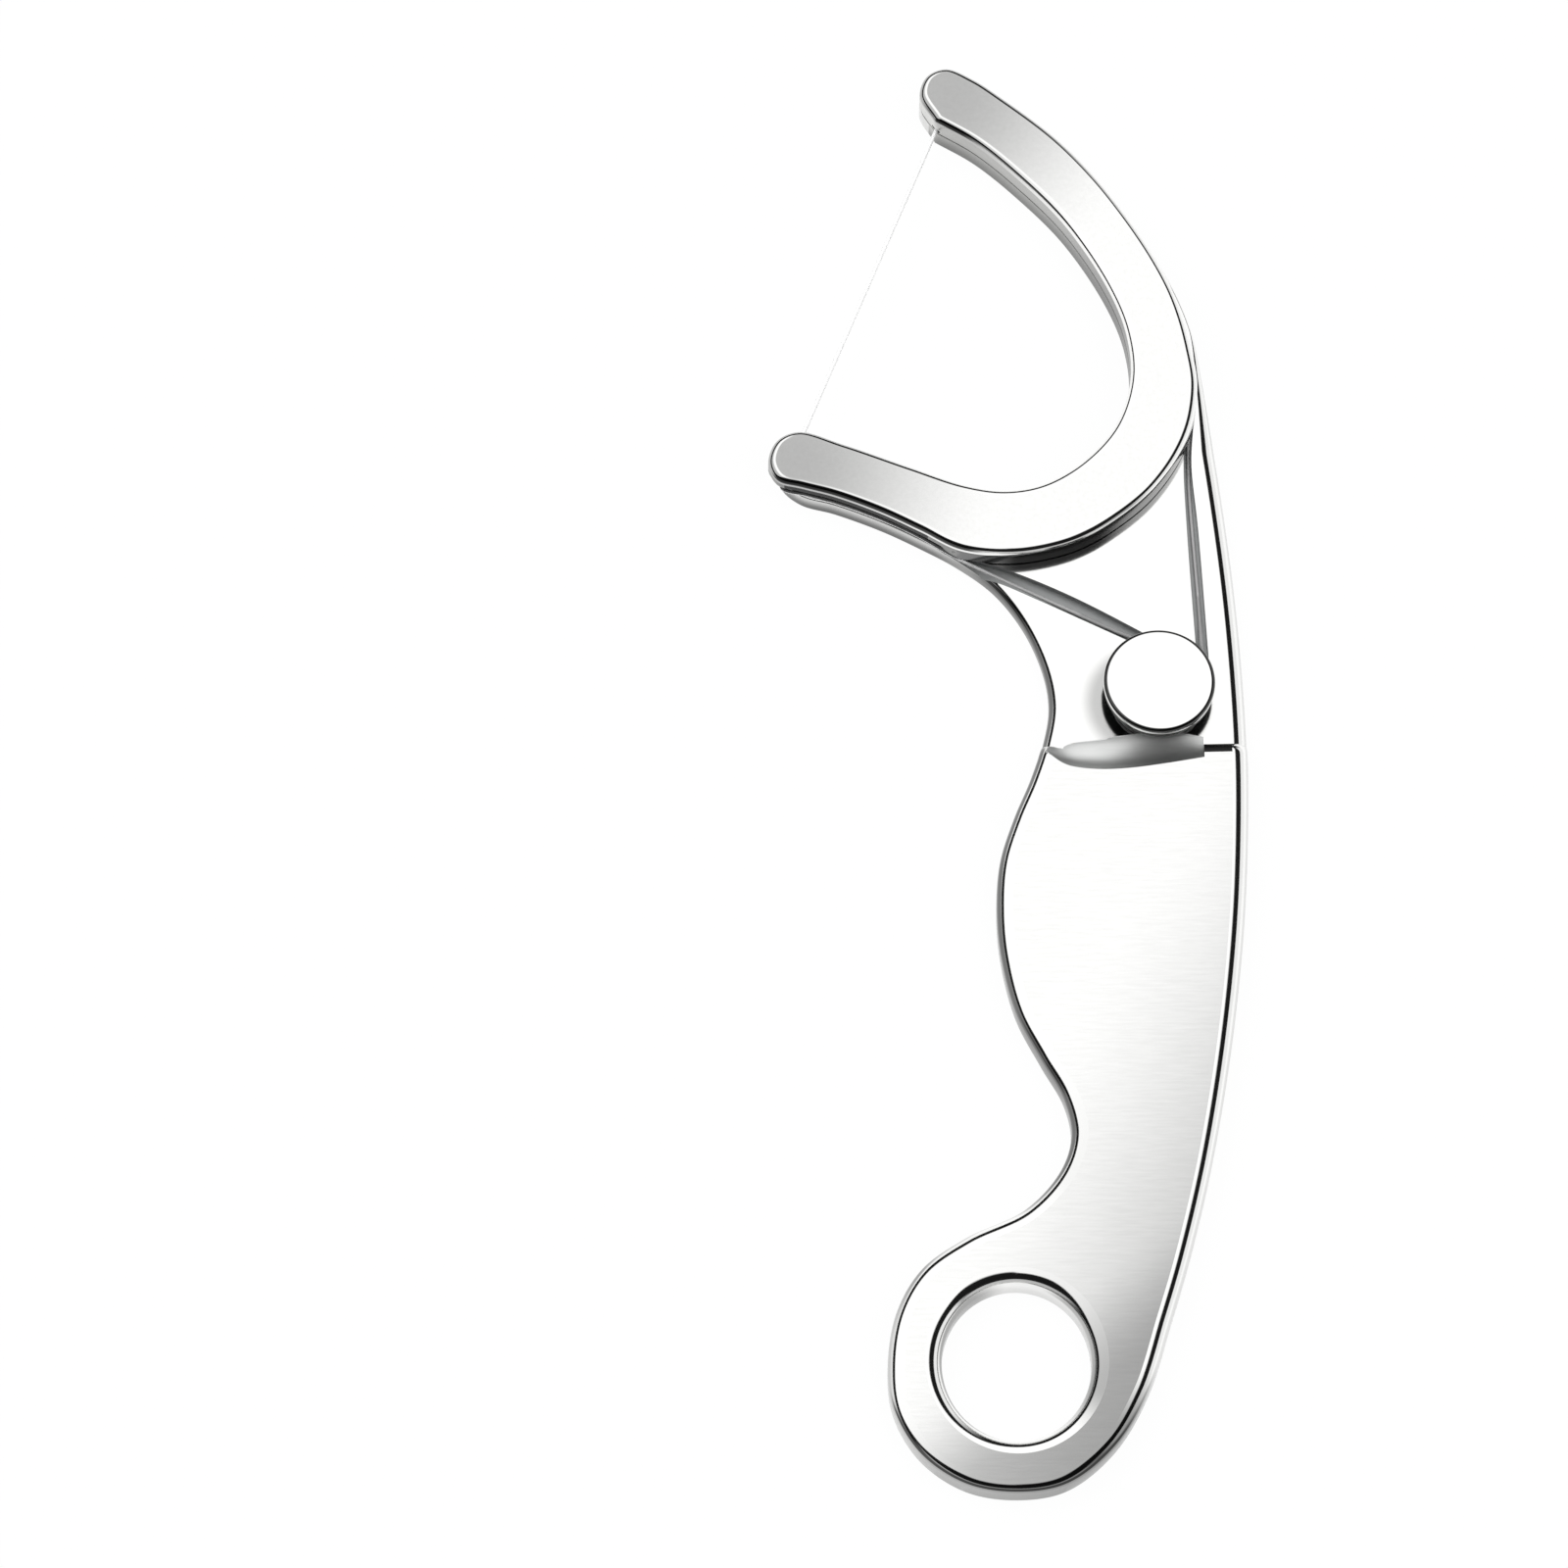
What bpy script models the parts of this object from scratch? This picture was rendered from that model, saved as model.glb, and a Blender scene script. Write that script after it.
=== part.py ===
"""A floss holder: a flat steel handle with a finger ring, a C-shaped fork and a clamping knob.

The handle lies on its back, with +Z out of its face and +Y from the ring to the fork. Outlines are drawn with
the middle of the finger ring as their zero, and an empty carries every piece to the middle of the footprint.
"""
import math

import bpy
from mathutils import Vector

MM = 0.001

# One unit of the points that are drawn in plan
PLAN_UNIT = 1.0 * MM

# Plate and cover, seen from the side
GRIP_THICK = 2.6 * MM
NECK_THICK = 1.8 * MM
COVER_THICK = 1.95 * MM
SEAM = 0.15 * MM
GRIP_ROUND = 1.2 * MM
NECK_ROUND = 1.2 * MM
LOW_ROUND = 0.7 * MM
FORK_ROUND = 0.15 * MM
BACK_ROUND = 0.25 * MM
COVER_ROUND = 0.6 * MM
STEP_LONG = 0.9 * MM

# Finger ring
RING_HOLE_WIDE = 10.7 * MM
RING_HOLE_LONG = 11.5 * MM
RING_HOLE_ROUND = 1.2 * MM

# Where the grip steps down to the neck, and where the neck's edges sharpen towards the fork on either side
STEP_Y = 47.0 * MM
LEFT_FORK_Y = 66.0 * MM
LEFT_FADE = 4.0 * MM
RIGHT_FORK_Y = 82.0 * MM
RIGHT_FADE = 10.0 * MM

# Plan in its own unit from the middle of the ring. Each stretch runs on from the one before it,
# counter-clockwise.
PLATE_ARM = [(-15.3, 68.15), (-12.8, 67.4), (-9.3, 66.0), (-6.35, 64.5)]
NECK_LEFT = [(-3.6, 62.9), (-0.85, 60.7), (1.35, 57.6), (2.75, 54.0), (3.1, 51.2), (2.65, 48.4)]
GRIP_LEFT = [(1.65, 45.2), (0.35, 42.0), (-0.7, 38.6), (-1.0, 35.0), (-0.75, 31.2), (0.3, 26.7),
             (2.1, 23.0), (3.7, 20.0), (4.2, 17.3), (3.4, 14.6), (0.8, 11.6)]
RING = [(-3.5, 9.45), (-6.7, 7.1), (-8.5, 4.0), (-9.2, 0.2), (-8.85, -3.5), (-6.95, -6.85), (-3.7, -9.1),
        (0.0, -9.7), (3.5, -9.05), (6.9, -6.3), (9.4, -2.1)]
GRIP_RIGHT = [(11.2, 3.4), (12.7, 8.4), (14.5, 15.8), (16.1, 24.8), (17.2, 34.0), (17.7, 42.6)]
NECK_RIGHT = [(17.75, 49.0), (17.3, 58.8), (16.4, 68.3)]
PLATE_BACK = [(15.1, 78.2), (14.5, 81.6), (13.55, 84.6), (12.05, 87.85), (10.0, 91.3), (7.65, 94.65),
              (4.7, 98.0), (0.6, 101.5), (-1.8, 103.05)]
UPPER_TIP = [(-4.1, 103.75), (-5.6, 103.1), (-6.15, 101.4)]
TIP_CORNER = [(-4.95, 99.1)]
THROAT = [(-1.95, 97.2), (1.5, 94.05), (4.85, 90.25), (8.0, 84.9), (9.35, 81.0), (9.6, 77.2), (8.4, 73.3),
          (5.9, 70.3), (2.9, 68.4), (0.0, 67.85), (-3.0, 68.3), (-7.0, 69.75), (-12.0, 71.65)]
PLATE_TIP = [(-14.9, 72.3), (-16.5, 71.8), (-17.2, 70.6), (-16.7, 69.3)]

# The cover leaves the plate's outline along the neck, and its back lies inside the plate's
COVER_ARM = [(-15.3, 68.1), (-12.8, 67.4), (-9.3, 66.0), (-6.35, 64.5)]
CRESCENT = [(-3.4, 62.95), (0.6, 62.55), (4.15, 63.2), (6.5, 64.2), (8.9, 65.85), (10.75, 67.5),
            (12.1, 69.15), (13.1, 70.75), (13.9, 72.5), (14.4, 74.3)]
COVER_BACK = [(14.65, 76.9), (14.3, 79.6), (13.75, 82.2), (12.95, 84.7), (11.6, 87.6), (9.6, 91.0),
              (7.3, 94.3), (4.3, 97.7), (0.3, 101.1), (-2.0, 102.8)]
COVER_TIP = [(-15.5, 72.75), (-17.15, 72.0), (-17.8, 70.2), (-17.1, 68.65)]

# Groove for the floss round the outer foot of the cover, and the slots that let it cross under both tips
GROOVE_DEEP = 0.46 * MM
GROOVE_HIGH = 0.8 * MM
GROOVE_SLOPE = 0.1 * MM
SLOT_WIDE = 0.76 * MM
SLOT_HIGH = 0.4 * MM
SLOT_LOWER = [(-14.88, 74.0), (-17.38, 67.7)]
SLOT_UPPER = [(-5.5, 97.7), (-2.95, 104.1)]

# Floss channels in the neck: the middle line and the width there, in plan units. Each then runs straight to
# its end beside the knob's barrel.
CHANNEL_DEEP = 0.6 * MM
CHANNEL_END_WIDE = 0.9 * MM
CHANNEL_LEFT = [(-6.2, 64.5, 0.6), (-3.3, 62.75, 0.9), (-0.2, 61.55, 1.25), (4.6, 59.3, 1.4)]
CHANNEL_RIGHT = [(14.5, 78.0, 0.5), (14.35, 76.2, 0.55), (14.02, 73.5, 0.6), (13.85, 70.7, 0.6),
                 (14.1, 65.4, 0.85)]

# Thumb scoop across the step, in plan units: place along X, middle of its round section past the step and
# above the neck's face, and radius there
SCOOP_SECTIONS = [(3.2, 0.87, 0.83, 0.35), (4.4, 0.38, 1.63, 1.7), (6.6, 0.44, 2.15, 2.3), (8.8, 0.63, 2.17, 2.4),
                  (11.7, 0.92, 1.97, 2.2), (14.5, 1.08, 1.75, 1.8)]

# Knob and what it runs on
KNOB_X = 11.2 * MM
KNOB_Y = 52.0 * MM
KNOB_ABOVE_NECK = 2.5 * MM
FLANGE_THICK = 0.6 * MM
FLANGE_ROUND = 0.35 * MM
BARREL_RADIUS = 3.1 * MM
FLANGE_WIDER = 1.05 * MM
BARREL_ABOVE_NECK = 0.2 * MM
BARREL_TO_INSERT_WALL = 0.8 * MM
INSERT_WALL = 0.6 * MM
KNOB_ROOF = 0.5 * MM
WASHER_THICK = 0.35 * MM
WASHER_INSET = 0.05 * MM
RUNNING_GAP = 0.1 * MM
PRESS_GAP = 0.1 * MM
THREAD_GAP = 0.2 * MM
STUD_HEAD_WIDER = 1.2 * MM
STUD_HEAD_THICK = 0.7 * MM
STUD_BELOW_KNOB_FACE = 0.7 * MM
STUD_CHAMFER = 0.2 * MM

# Dowel pins between the plate and the cover
PIN_RADIUS = 0.6 * MM
PIN_IN_PLATE = 1.1 * MM
PIN_IN_COVER = 1.1 * MM
PIN_PLACES = [(-1.3, 99.9), (11.4, 82.4), (10.9, 71.8), (-12.0, 69.5)]

# Floss: its free ends go round the barrel, and its route between them is chosen by hand, in plan units, with
# the height above the neck's face
FLOSS_RADIUS = 0.15 * MM
FLOSS_TO_BARREL = 0.12 * MM
WINDING_TURNS = 0.85
WINDING_STEPS = 24
WINDING_RISE = 0.12 * MM
LEFT_TURN_HIGH = 0.3 * MM
RIGHT_TURN_HIGH = 1.06 * MM
FLOSS_SPACING = 2.2 * MM
FLOSS_ROUTE = [(10.0, 56.33, -0.18), (8.2, 57.23, -0.4), (4.0, 59.32, -0.43), (-0.6, 61.62, -0.43),
               (-2.8, 62.75, -0.38), (-4.6, 63.75, -0.14), (-6.25, 64.69, 0.13), (-9.2, 66.19, 0.17),
               (-12.72, 67.6, 0.17), (-15.2, 68.31, 0.17), (-16.1, 68.45, 0.17), (-16.5, 68.57, 0.17),
               (-16.74, 68.74, 0.17), (-16.82, 69.05, 0.17), (-16.66, 69.5, 0.17), (-15.52, 72.4, 0.17),
               (-12.5, 80.01, 0.17), (-8.6, 89.84, 0.17), (-4.9, 99.16, 0.17), (-3.75, 102.06, 0.17),
               (-3.5, 102.75, 0.17), (-3.33, 103.05, 0.17), (-3.1, 103.17, 0.17), (-2.8, 103.05, 0.17),
               (-2.1, 102.62, 0.17), (0.17, 100.93, 0.17), (4.15, 97.55, 0.17), (7.13, 94.18, 0.17),
               (9.42, 90.89, 0.17), (11.41, 87.51, 0.17), (12.75, 84.63, 0.17), (13.54, 82.15, 0.17),
               (14.09, 79.57, 0.17), (14.42, 77.2, 0.13), (14.28, 75.7, -0.08), (14.08, 74.0, -0.35),
               (13.93, 71.6, -0.43), (13.93, 69.0, -0.43), (14.12, 65.0, -0.43), (14.38, 60.5, -0.43),
               (14.5, 58.0, -0.35), (14.52, 56.2, 0.15), (14.52, 54.3, 0.82), (14.52, 53.2, 1)]

# How finely the curves are drawn
OUTLINE_SPACING = 0.95 * MM
ROUND_STEPS = 4
ROUND_SEGMENTS = 48
HOLE_SEGMENTS = 72
PIN_SEGMENTS = 16
SCOOP_SEGMENTS = 40
CUT_PAST = 1.0 * MM


def clear_scene():
    """Starts from an empty scene."""
    for item in list(bpy.data.objects):
        bpy.data.objects.remove(item, do_unlink=True)


def material(name, colour, roughness, metallic):
    """A Principled material with one colour."""
    made = bpy.data.materials.new(name)
    made.use_nodes = True
    shader = made.node_tree.nodes["Principled BSDF"]
    shader.inputs["Base Color"].default_value = (*colour, 1.0)
    shader.inputs["Roughness"].default_value = roughness
    shader.inputs["Metallic"].default_value = metallic
    return made


def plan(points):
    """Points written in plan units, as vectors in metres."""
    return [Vector([value * PLAN_UNIT for value in point]) for point in points]


def curve_point(before, start, end, after, share):
    """A point of the centripetal Catmull-Rom curve between start and end."""
    knots = [0.0]
    for first, second in ((before, start), (start, end), (end, after)):
        knots.append(knots[-1] + max((second - first).length, 1e-7) ** 0.5)
    t = knots[1] + share * (knots[2] - knots[1])

    def mix(a, b, low, high):
        return a * ((high - t) / (high - low)) + b * ((t - low) / (high - low))

    a1 = mix(before, start, knots[0], knots[1])
    a2 = mix(start, end, knots[1], knots[2])
    a3 = mix(end, after, knots[2], knots[3])
    b1 = mix(a1, a2, knots[0], knots[2])
    b2 = mix(a2, a3, knots[1], knots[3])
    return mix(b1, b2, knots[1], knots[2])


def smooth_run(points, spacing, before=None, after=None):
    """Points along an open smooth curve through the given points, both ends included."""
    before = before if before is not None else points[0] * 2 - points[1]
    after = after if after is not None else points[-1] * 2 - points[-2]
    guides = [before, *points, after]
    run = []
    for i in range(1, len(guides) - 2):
        steps = max(1, round((guides[i + 1] - guides[i]).length / spacing))
        for k in range(steps):
            run.append(curve_point(guides[i - 1], guides[i], guides[i + 1], guides[i + 2], k / steps))
    run.append(points[-1])
    return run


def closed_outline(outer, throat):
    """A closed outline: a smooth outer run to the corner of the upper tip, then a smooth run back from it."""
    first = smooth_run(outer, OUTLINE_SPACING, before=throat[-2])
    second = smooth_run(throat, OUTLINE_SPACING, after=outer[1])
    return first + second[1:-1]


def side_normals(outline):
    """Vectors out of a counter-clockwise outline, longer at corners so that walls keep their thickness."""
    normals = []
    for i, point in enumerate(outline):
        back = (point - outline[i - 1]).normalized()
        ahead = (outline[(i + 1) % len(outline)] - point).normalized()
        middle = (back + ahead).normalized()
        normals.append(Vector((middle.y, -middle.x)) / max(0.5, middle.dot(ahead)))
    return normals


def inset(outline, depths):
    """The outline moved inwards, by its own depth at each point."""
    return [point - normal * depth for point, normal, depth in zip(outline, side_normals(outline), depths)]


def link(name, vertices, faces, finish):
    """Makes a named object from vertices in metres and faces."""
    mesh = bpy.data.meshes.new(name)
    mesh.from_pydata(vertices, [], faces)
    mesh.validate()
    if finish:
        mesh.materials.append(finish)
    item = bpy.data.objects.new(name, mesh)
    bpy.context.scene.collection.objects.link(item)
    return item


def strip(faces, lower, upper, count):
    """Adds the quads between two closed rings of vertex numbers."""
    for i in range(count):
        k = (i + 1) % count
        faces.append((lower + i, lower + k, upper + k, upper + i))


def stack(name, rings, finish=None):
    """A closed solid from rings of (x, y, z) with equal counts, from the lowest up, with flat ends."""
    count = len(rings[0])
    vertices = [vertex for ring in rings for vertex in ring]
    faces = [tuple(reversed(range(count)))]
    for level in range(len(rings) - 1):
        strip(faces, level * count, (level + 1) * count, count)
    top = (len(rings) - 1) * count
    faces.append(tuple(range(top, top + count)))
    return link(name, vertices, faces, finish)


def circle(radius, z, segments, stretch=1.0):
    """A ring of points round the Z axis, stretched along Y."""
    turn = 2 * math.pi / segments
    return [(radius * math.cos(turn * i), radius * stretch * math.sin(turn * i), z) for i in range(segments)]


def turned(name, profile, segments, finish=None):
    """A solid of revolution: its (radius, z) profile goes from the axis out and up to the axis."""
    vertices = [(0.0, 0.0, profile[0][1])]
    for radius, z in profile[1:-1]:
        vertices.extend(circle(radius, z, segments))
    vertices.append((0.0, 0.0, profile[-1][1]))
    last = len(vertices) - 1
    faces = []
    for i in range(segments):
        k = (i + 1) % segments
        faces.append((0, 1 + k, 1 + i))
        faces.append((last, last - segments + i, last - segments + k))
    for level in range(len(profile) - 3):
        strip(faces, 1 + level * segments, 1 + (level + 1) * segments, segments)
    return link(name, vertices, faces, finish)


def hollow(name, profile, segments, finish):
    """A turned solid with a bore: its (radius, z) profile is a closed loop that runs up its outer side."""
    vertices = []
    for radius, z in profile:
        vertices.extend(circle(radius, z, segments))
    faces = []
    for level in range(len(profile)):
        strip(faces, level * segments, (level + 1) % len(profile) * segments, segments)
    return link(name, vertices, faces, finish)


def smooth(item, degrees=40.0):
    """Shades a piece smooth and keeps its edges sharp."""
    item.data.shade_smooth()
    item.data.set_sharp_from_angle(angle=math.radians(degrees))


def cut(item, tool):
    """Cuts a tool out of a solid and hides the tool."""
    modifier = item.modifiers.new("cut by " + tool.name, "BOOLEAN")
    modifier.operation = "DIFFERENCE"
    modifier.solver = "EXACT"
    modifier.object = tool
    tool.hide_render = True
    tool.display_type = "WIRE"


def quarter(radius, steps):
    """Depth and drop of each point of a rounded edge, from the wall up to the face."""
    turn = math.pi / 2 / steps
    return [(radius * (1 - math.cos(turn * i)), radius * (1 - math.sin(turn * i))) for i in range(steps + 1)]


def between(value, start, end):
    """0 before start, 1 after end and even between them."""
    return min(1.0, max(0.0, (value - start) / (end - start)))


def plate_height(y):
    """Height of the plate's face along its length: the grip, a rounded step and the neck."""
    along = between(y, STEP_Y, STEP_Y + STEP_LONG)
    return NECK_THICK + (GRIP_THICK - NECK_THICK) * math.sqrt(max(0.0, 1 - along ** 2))


def fork_share(point):
    """0 on the grip and the neck, 1 along the fork, where the plate's edge is sharp under the cover."""
    if point.x > KNOB_X:
        return between(point.y, RIGHT_FORK_Y - RIGHT_FADE, RIGHT_FORK_Y)
    return between(point.y, LEFT_FORK_Y - LEFT_FADE, LEFT_FORK_Y)


def plate_round(point, normal):
    """Radius of the plate's face edge at a point of the outline, smaller where it faces the ring end."""
    side = GRIP_ROUND + (NECK_ROUND - GRIP_ROUND) * between(point.y, STEP_Y, STEP_Y + STEP_LONG)
    radius = side + (LOW_ROUND - side) * max(0.0, -normal.normalized().y)
    return radius + (FORK_ROUND - radius) * fork_share(point)


def with_levels(outline, levels):
    """The outline with a point wherever it crosses a level along Y, and none of its own among the levels."""
    margin = OUTLINE_SPACING / 4
    kept = [point for point in outline if not levels[0] - margin < point.y < levels[-1] + margin]
    result = []
    for i, point in enumerate(kept):
        result.append(point)
        after = kept[(i + 1) % len(kept)]
        crossed = [level for level in levels if min(point.y, after.y) < level < max(point.y, after.y)]
        for level in sorted(crossed, reverse=after.y < point.y):
            result.append(point.lerp(after, (level - point.y) / (after.y - point.y)))
    return result


def base_plate(outline, finish):
    """The plate with its two face levels, rounded edges and rounded step."""
    levels = [STEP_Y + STEP_LONG * math.sin(math.pi / 2 * i / ROUND_STEPS) for i in range(ROUND_STEPS + 1)]
    outline = with_levels(outline, levels)
    count = len(outline)
    heights = [plate_height(point.y) for point in outline]
    rounds = [plate_round(point, normal) for point, normal in zip(outline, side_normals(outline))]
    rings = []
    for depth, drop in reversed(quarter(BACK_ROUND, ROUND_STEPS // 2)):
        rings.append([(point.x, point.y, drop) for point in inset(outline, [depth] * count)])
    for depth, drop in quarter(1.0, ROUND_STEPS):
        moved = inset(outline, [depth * radius for radius in rounds])
        rings.append([(point.x, point.y, height - drop * radius)
                      for point, height, radius in zip(moved, heights, rounds)])
    vertices = [vertex for ring in rings for vertex in ring]
    faces = [tuple(reversed(range(count)))]
    for level in range(len(rings) - 1):
        strip(faces, level * count, (level + 1) * count, count)
    top = (len(rings) - 1) * count
    crossings = [[i for i, point in enumerate(outline) if abs(point.y - level) < 1e-8] for level in levels]
    faces.append(tuple(top + i for i in range(crossings[0][0], crossings[0][1] + 1)))
    for (left, right), (next_left, next_right) in zip(crossings, crossings[1:]):
        faces.append((top + left, top + right, top + next_right, top + next_left))
    around = list(range(crossings[-1][1], count)) + list(range(crossings[-1][0] + 1))
    faces.append(tuple(top + i for i in around))
    return link("base_plate", vertices, faces, finish)


def fork_cover(outline, groove_shares, finish):
    """The cover with its rounded face edge and the groove round its outer foot."""
    count = len(outline)
    foot = NECK_THICK + SEAM
    top = foot + COVER_THICK
    groove = [share * GROOVE_DEEP for share in groove_shares]
    grooved = inset(outline, groove)
    rings = [[(point.x, point.y, foot) for point in grooved]]
    rings.append([(point.x, point.y, foot + GROOVE_HIGH - GROOVE_SLOPE) for point in grooved])
    rings.append([(point.x, point.y, foot + GROOVE_HIGH) for point in outline])
    for depth, drop in quarter(COVER_ROUND, ROUND_STEPS):
        rings.append([(point.x, point.y, top - drop) for point in inset(outline, [depth] * count)])
    return stack("fork_cover", rings, finish)


def cover_outline():
    """The cover's outline, and the share of the groove's depth at each of its points."""
    scale = 0.1 * PLAN_UNIT
    grooved = COVER_ARM + COVER_BACK + UPPER_TIP[:1] + COVER_TIP[-1:]

    def marked(points):
        return [Vector((x * PLAN_UNIT, y * PLAN_UNIT, scale if (x, y) in grooved else 0.0))
                for x, y in points]

    outer = marked(COVER_ARM + CRESCENT + COVER_BACK + UPPER_TIP + TIP_CORNER)
    throat = marked(TIP_CORNER + THROAT + COVER_TIP + COVER_ARM[:1])
    outline = closed_outline(outer, throat)
    return [point.to_2d() for point in outline], [between(point.z, 0.0, scale) for point in outline]


def channel_tool(name, middle):
    """A cutting tool with a flat floor along a middle line of (x, y, width)."""
    run = smooth_run(middle, OUTLINE_SPACING * 2)
    left = []
    right = []
    for i, point in enumerate(run):
        ahead = (run[min(i + 1, len(run) - 1)] - run[max(i - 1, 0)]).to_2d().normalized()
        side = Vector((ahead.y, -ahead.x)) * (point.z / 2)
        right.append(point.to_2d() + side)
        left.append(point.to_2d() - side)
    ring = right + left[::-1]
    floor = NECK_THICK - CHANNEL_DEEP
    return stack(name, [[(p.x, p.y, z) for p in ring] for z in (floor, NECK_THICK + CUT_PAST)])


def slot_tool(name, ends):
    """A cutting tool for a straight slot in the cover's foot."""
    start, end = plan(ends)
    ahead = (end - start).normalized()
    side = Vector((ahead.y, -ahead.x)) * (SLOT_WIDE / 2)
    ring = [start + side, end + side, end - side, start - side]
    foot = NECK_THICK + SEAM
    return stack(name, [[(p.x, p.y, z) for p in ring] for z in (foot - CUT_PAST, foot + SLOT_HIGH)])


def scoop_tool():
    """A cutting tool for the thumb scoop: round sections that swell and then stop square."""
    sections = smooth_run(plan(SCOOP_SECTIONS), OUTLINE_SPACING)
    rings = []
    turn = 2 * math.pi / SCOOP_SEGMENTS
    for x, past, above, radius in sections:
        rings.append([(x, STEP_Y + past + radius * math.cos(turn * i),
                       NECK_THICK + above + radius * math.sin(turn * i)) for i in range(SCOOP_SEGMENTS)])
    return stack("scoop_tool", rings)


def ring_tool():
    """A cutting tool for the finger hole, flared where the hole's edges are rounded."""
    radius = RING_HOLE_WIDE / 2
    longer = (RING_HOLE_LONG - RING_HOLE_WIDE) / 2
    levels = [(BACK_ROUND, -CUT_PAST)]
    levels += reversed(quarter(BACK_ROUND, ROUND_STEPS // 2))
    for depth, drop in quarter(RING_HOLE_ROUND, ROUND_STEPS):
        levels.append((depth, GRIP_THICK - drop))
    levels.append((RING_HOLE_ROUND, GRIP_THICK + CUT_PAST))
    rings = []
    for wider, z in levels:
        stretch = (radius + longer + wider) / (radius + wider)
        rings.append(circle(radius + wider, z, HOLE_SEGMENTS, stretch))
    return stack("ring_tool", rings)


def place(item, home, x=0.0, y=0.0):
    """Puts an object at its place in the drawing's frame."""
    item.parent = home
    item.location = (x, y, 0.0)


def floss_points():
    """The floss from one free end on the barrel, along its route, to the other free end."""
    centre = Vector((KNOB_X, KNOB_Y))
    radius = BARREL_RADIUS + FLOSS_TO_BARREL + FLOSS_RADIUS
    route = [point + Vector((0.0, 0.0, NECK_THICK)) for point in plan(FLOSS_ROUTE)]
    steps = round(WINDING_STEPS * WINDING_TURNS)

    def turn(start_angle, high):
        points = []
        for i in range(steps + 1):
            angle = start_angle - 2 * math.pi * WINDING_TURNS * i / steps
            place_on = centre + Vector((math.cos(angle), math.sin(angle))) * radius
            points.append(Vector((place_on.x, place_on.y, NECK_THICK + high + WINDING_RISE * i / steps)))
        return points

    left = turn(tangent_angle(centre, radius, route[0].to_2d()), LEFT_TURN_HIGH)
    right = turn(tangent_angle(centre, radius, route[-1].to_2d()), RIGHT_TURN_HIGH)
    middle = smooth_run(route, FLOSS_SPACING, before=left[0], after=right[0])
    return left[::-1] + middle + right


def tangent_angle(centre, radius, outside):
    """Angle about the centre where a line from an outside point touches a circle, to go on clockwise."""
    away = outside - centre
    return math.atan2(away.y, away.x) - math.acos(min(1.0, radius / away.length))


def least_gap(points, radius):
    """Least gap between stretches of the tube that lie apart along it, measured on its points."""
    apart = 8 * radius
    lengths = [0.0]
    for first, second in zip(points, points[1:]):
        lengths.append(lengths[-1] + (second - first).length)
    least = math.inf
    for i, point in enumerate(points):
        for k in range(i + 1, len(points)):
            if lengths[k] - lengths[i] > apart:
                least = min(least, (points[k] - point).length - 2 * radius)
    return least


def floss(points, finish):
    """The floss as one tube."""
    curve = bpy.data.curves.new("floss", "CURVE")
    curve.dimensions = "3D"
    curve.bevel_depth = FLOSS_RADIUS
    curve.bevel_resolution = 1
    curve.use_fill_caps = True
    line = curve.splines.new("POLY")
    line.points.add(len(points) - 1)
    for target, point in zip(line.points, points):
        target.co = (*point, 1.0)
    curve.materials.append(finish)
    item = bpy.data.objects.new("floss", curve)
    bpy.context.scene.collection.objects.link(item)
    return item


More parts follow.
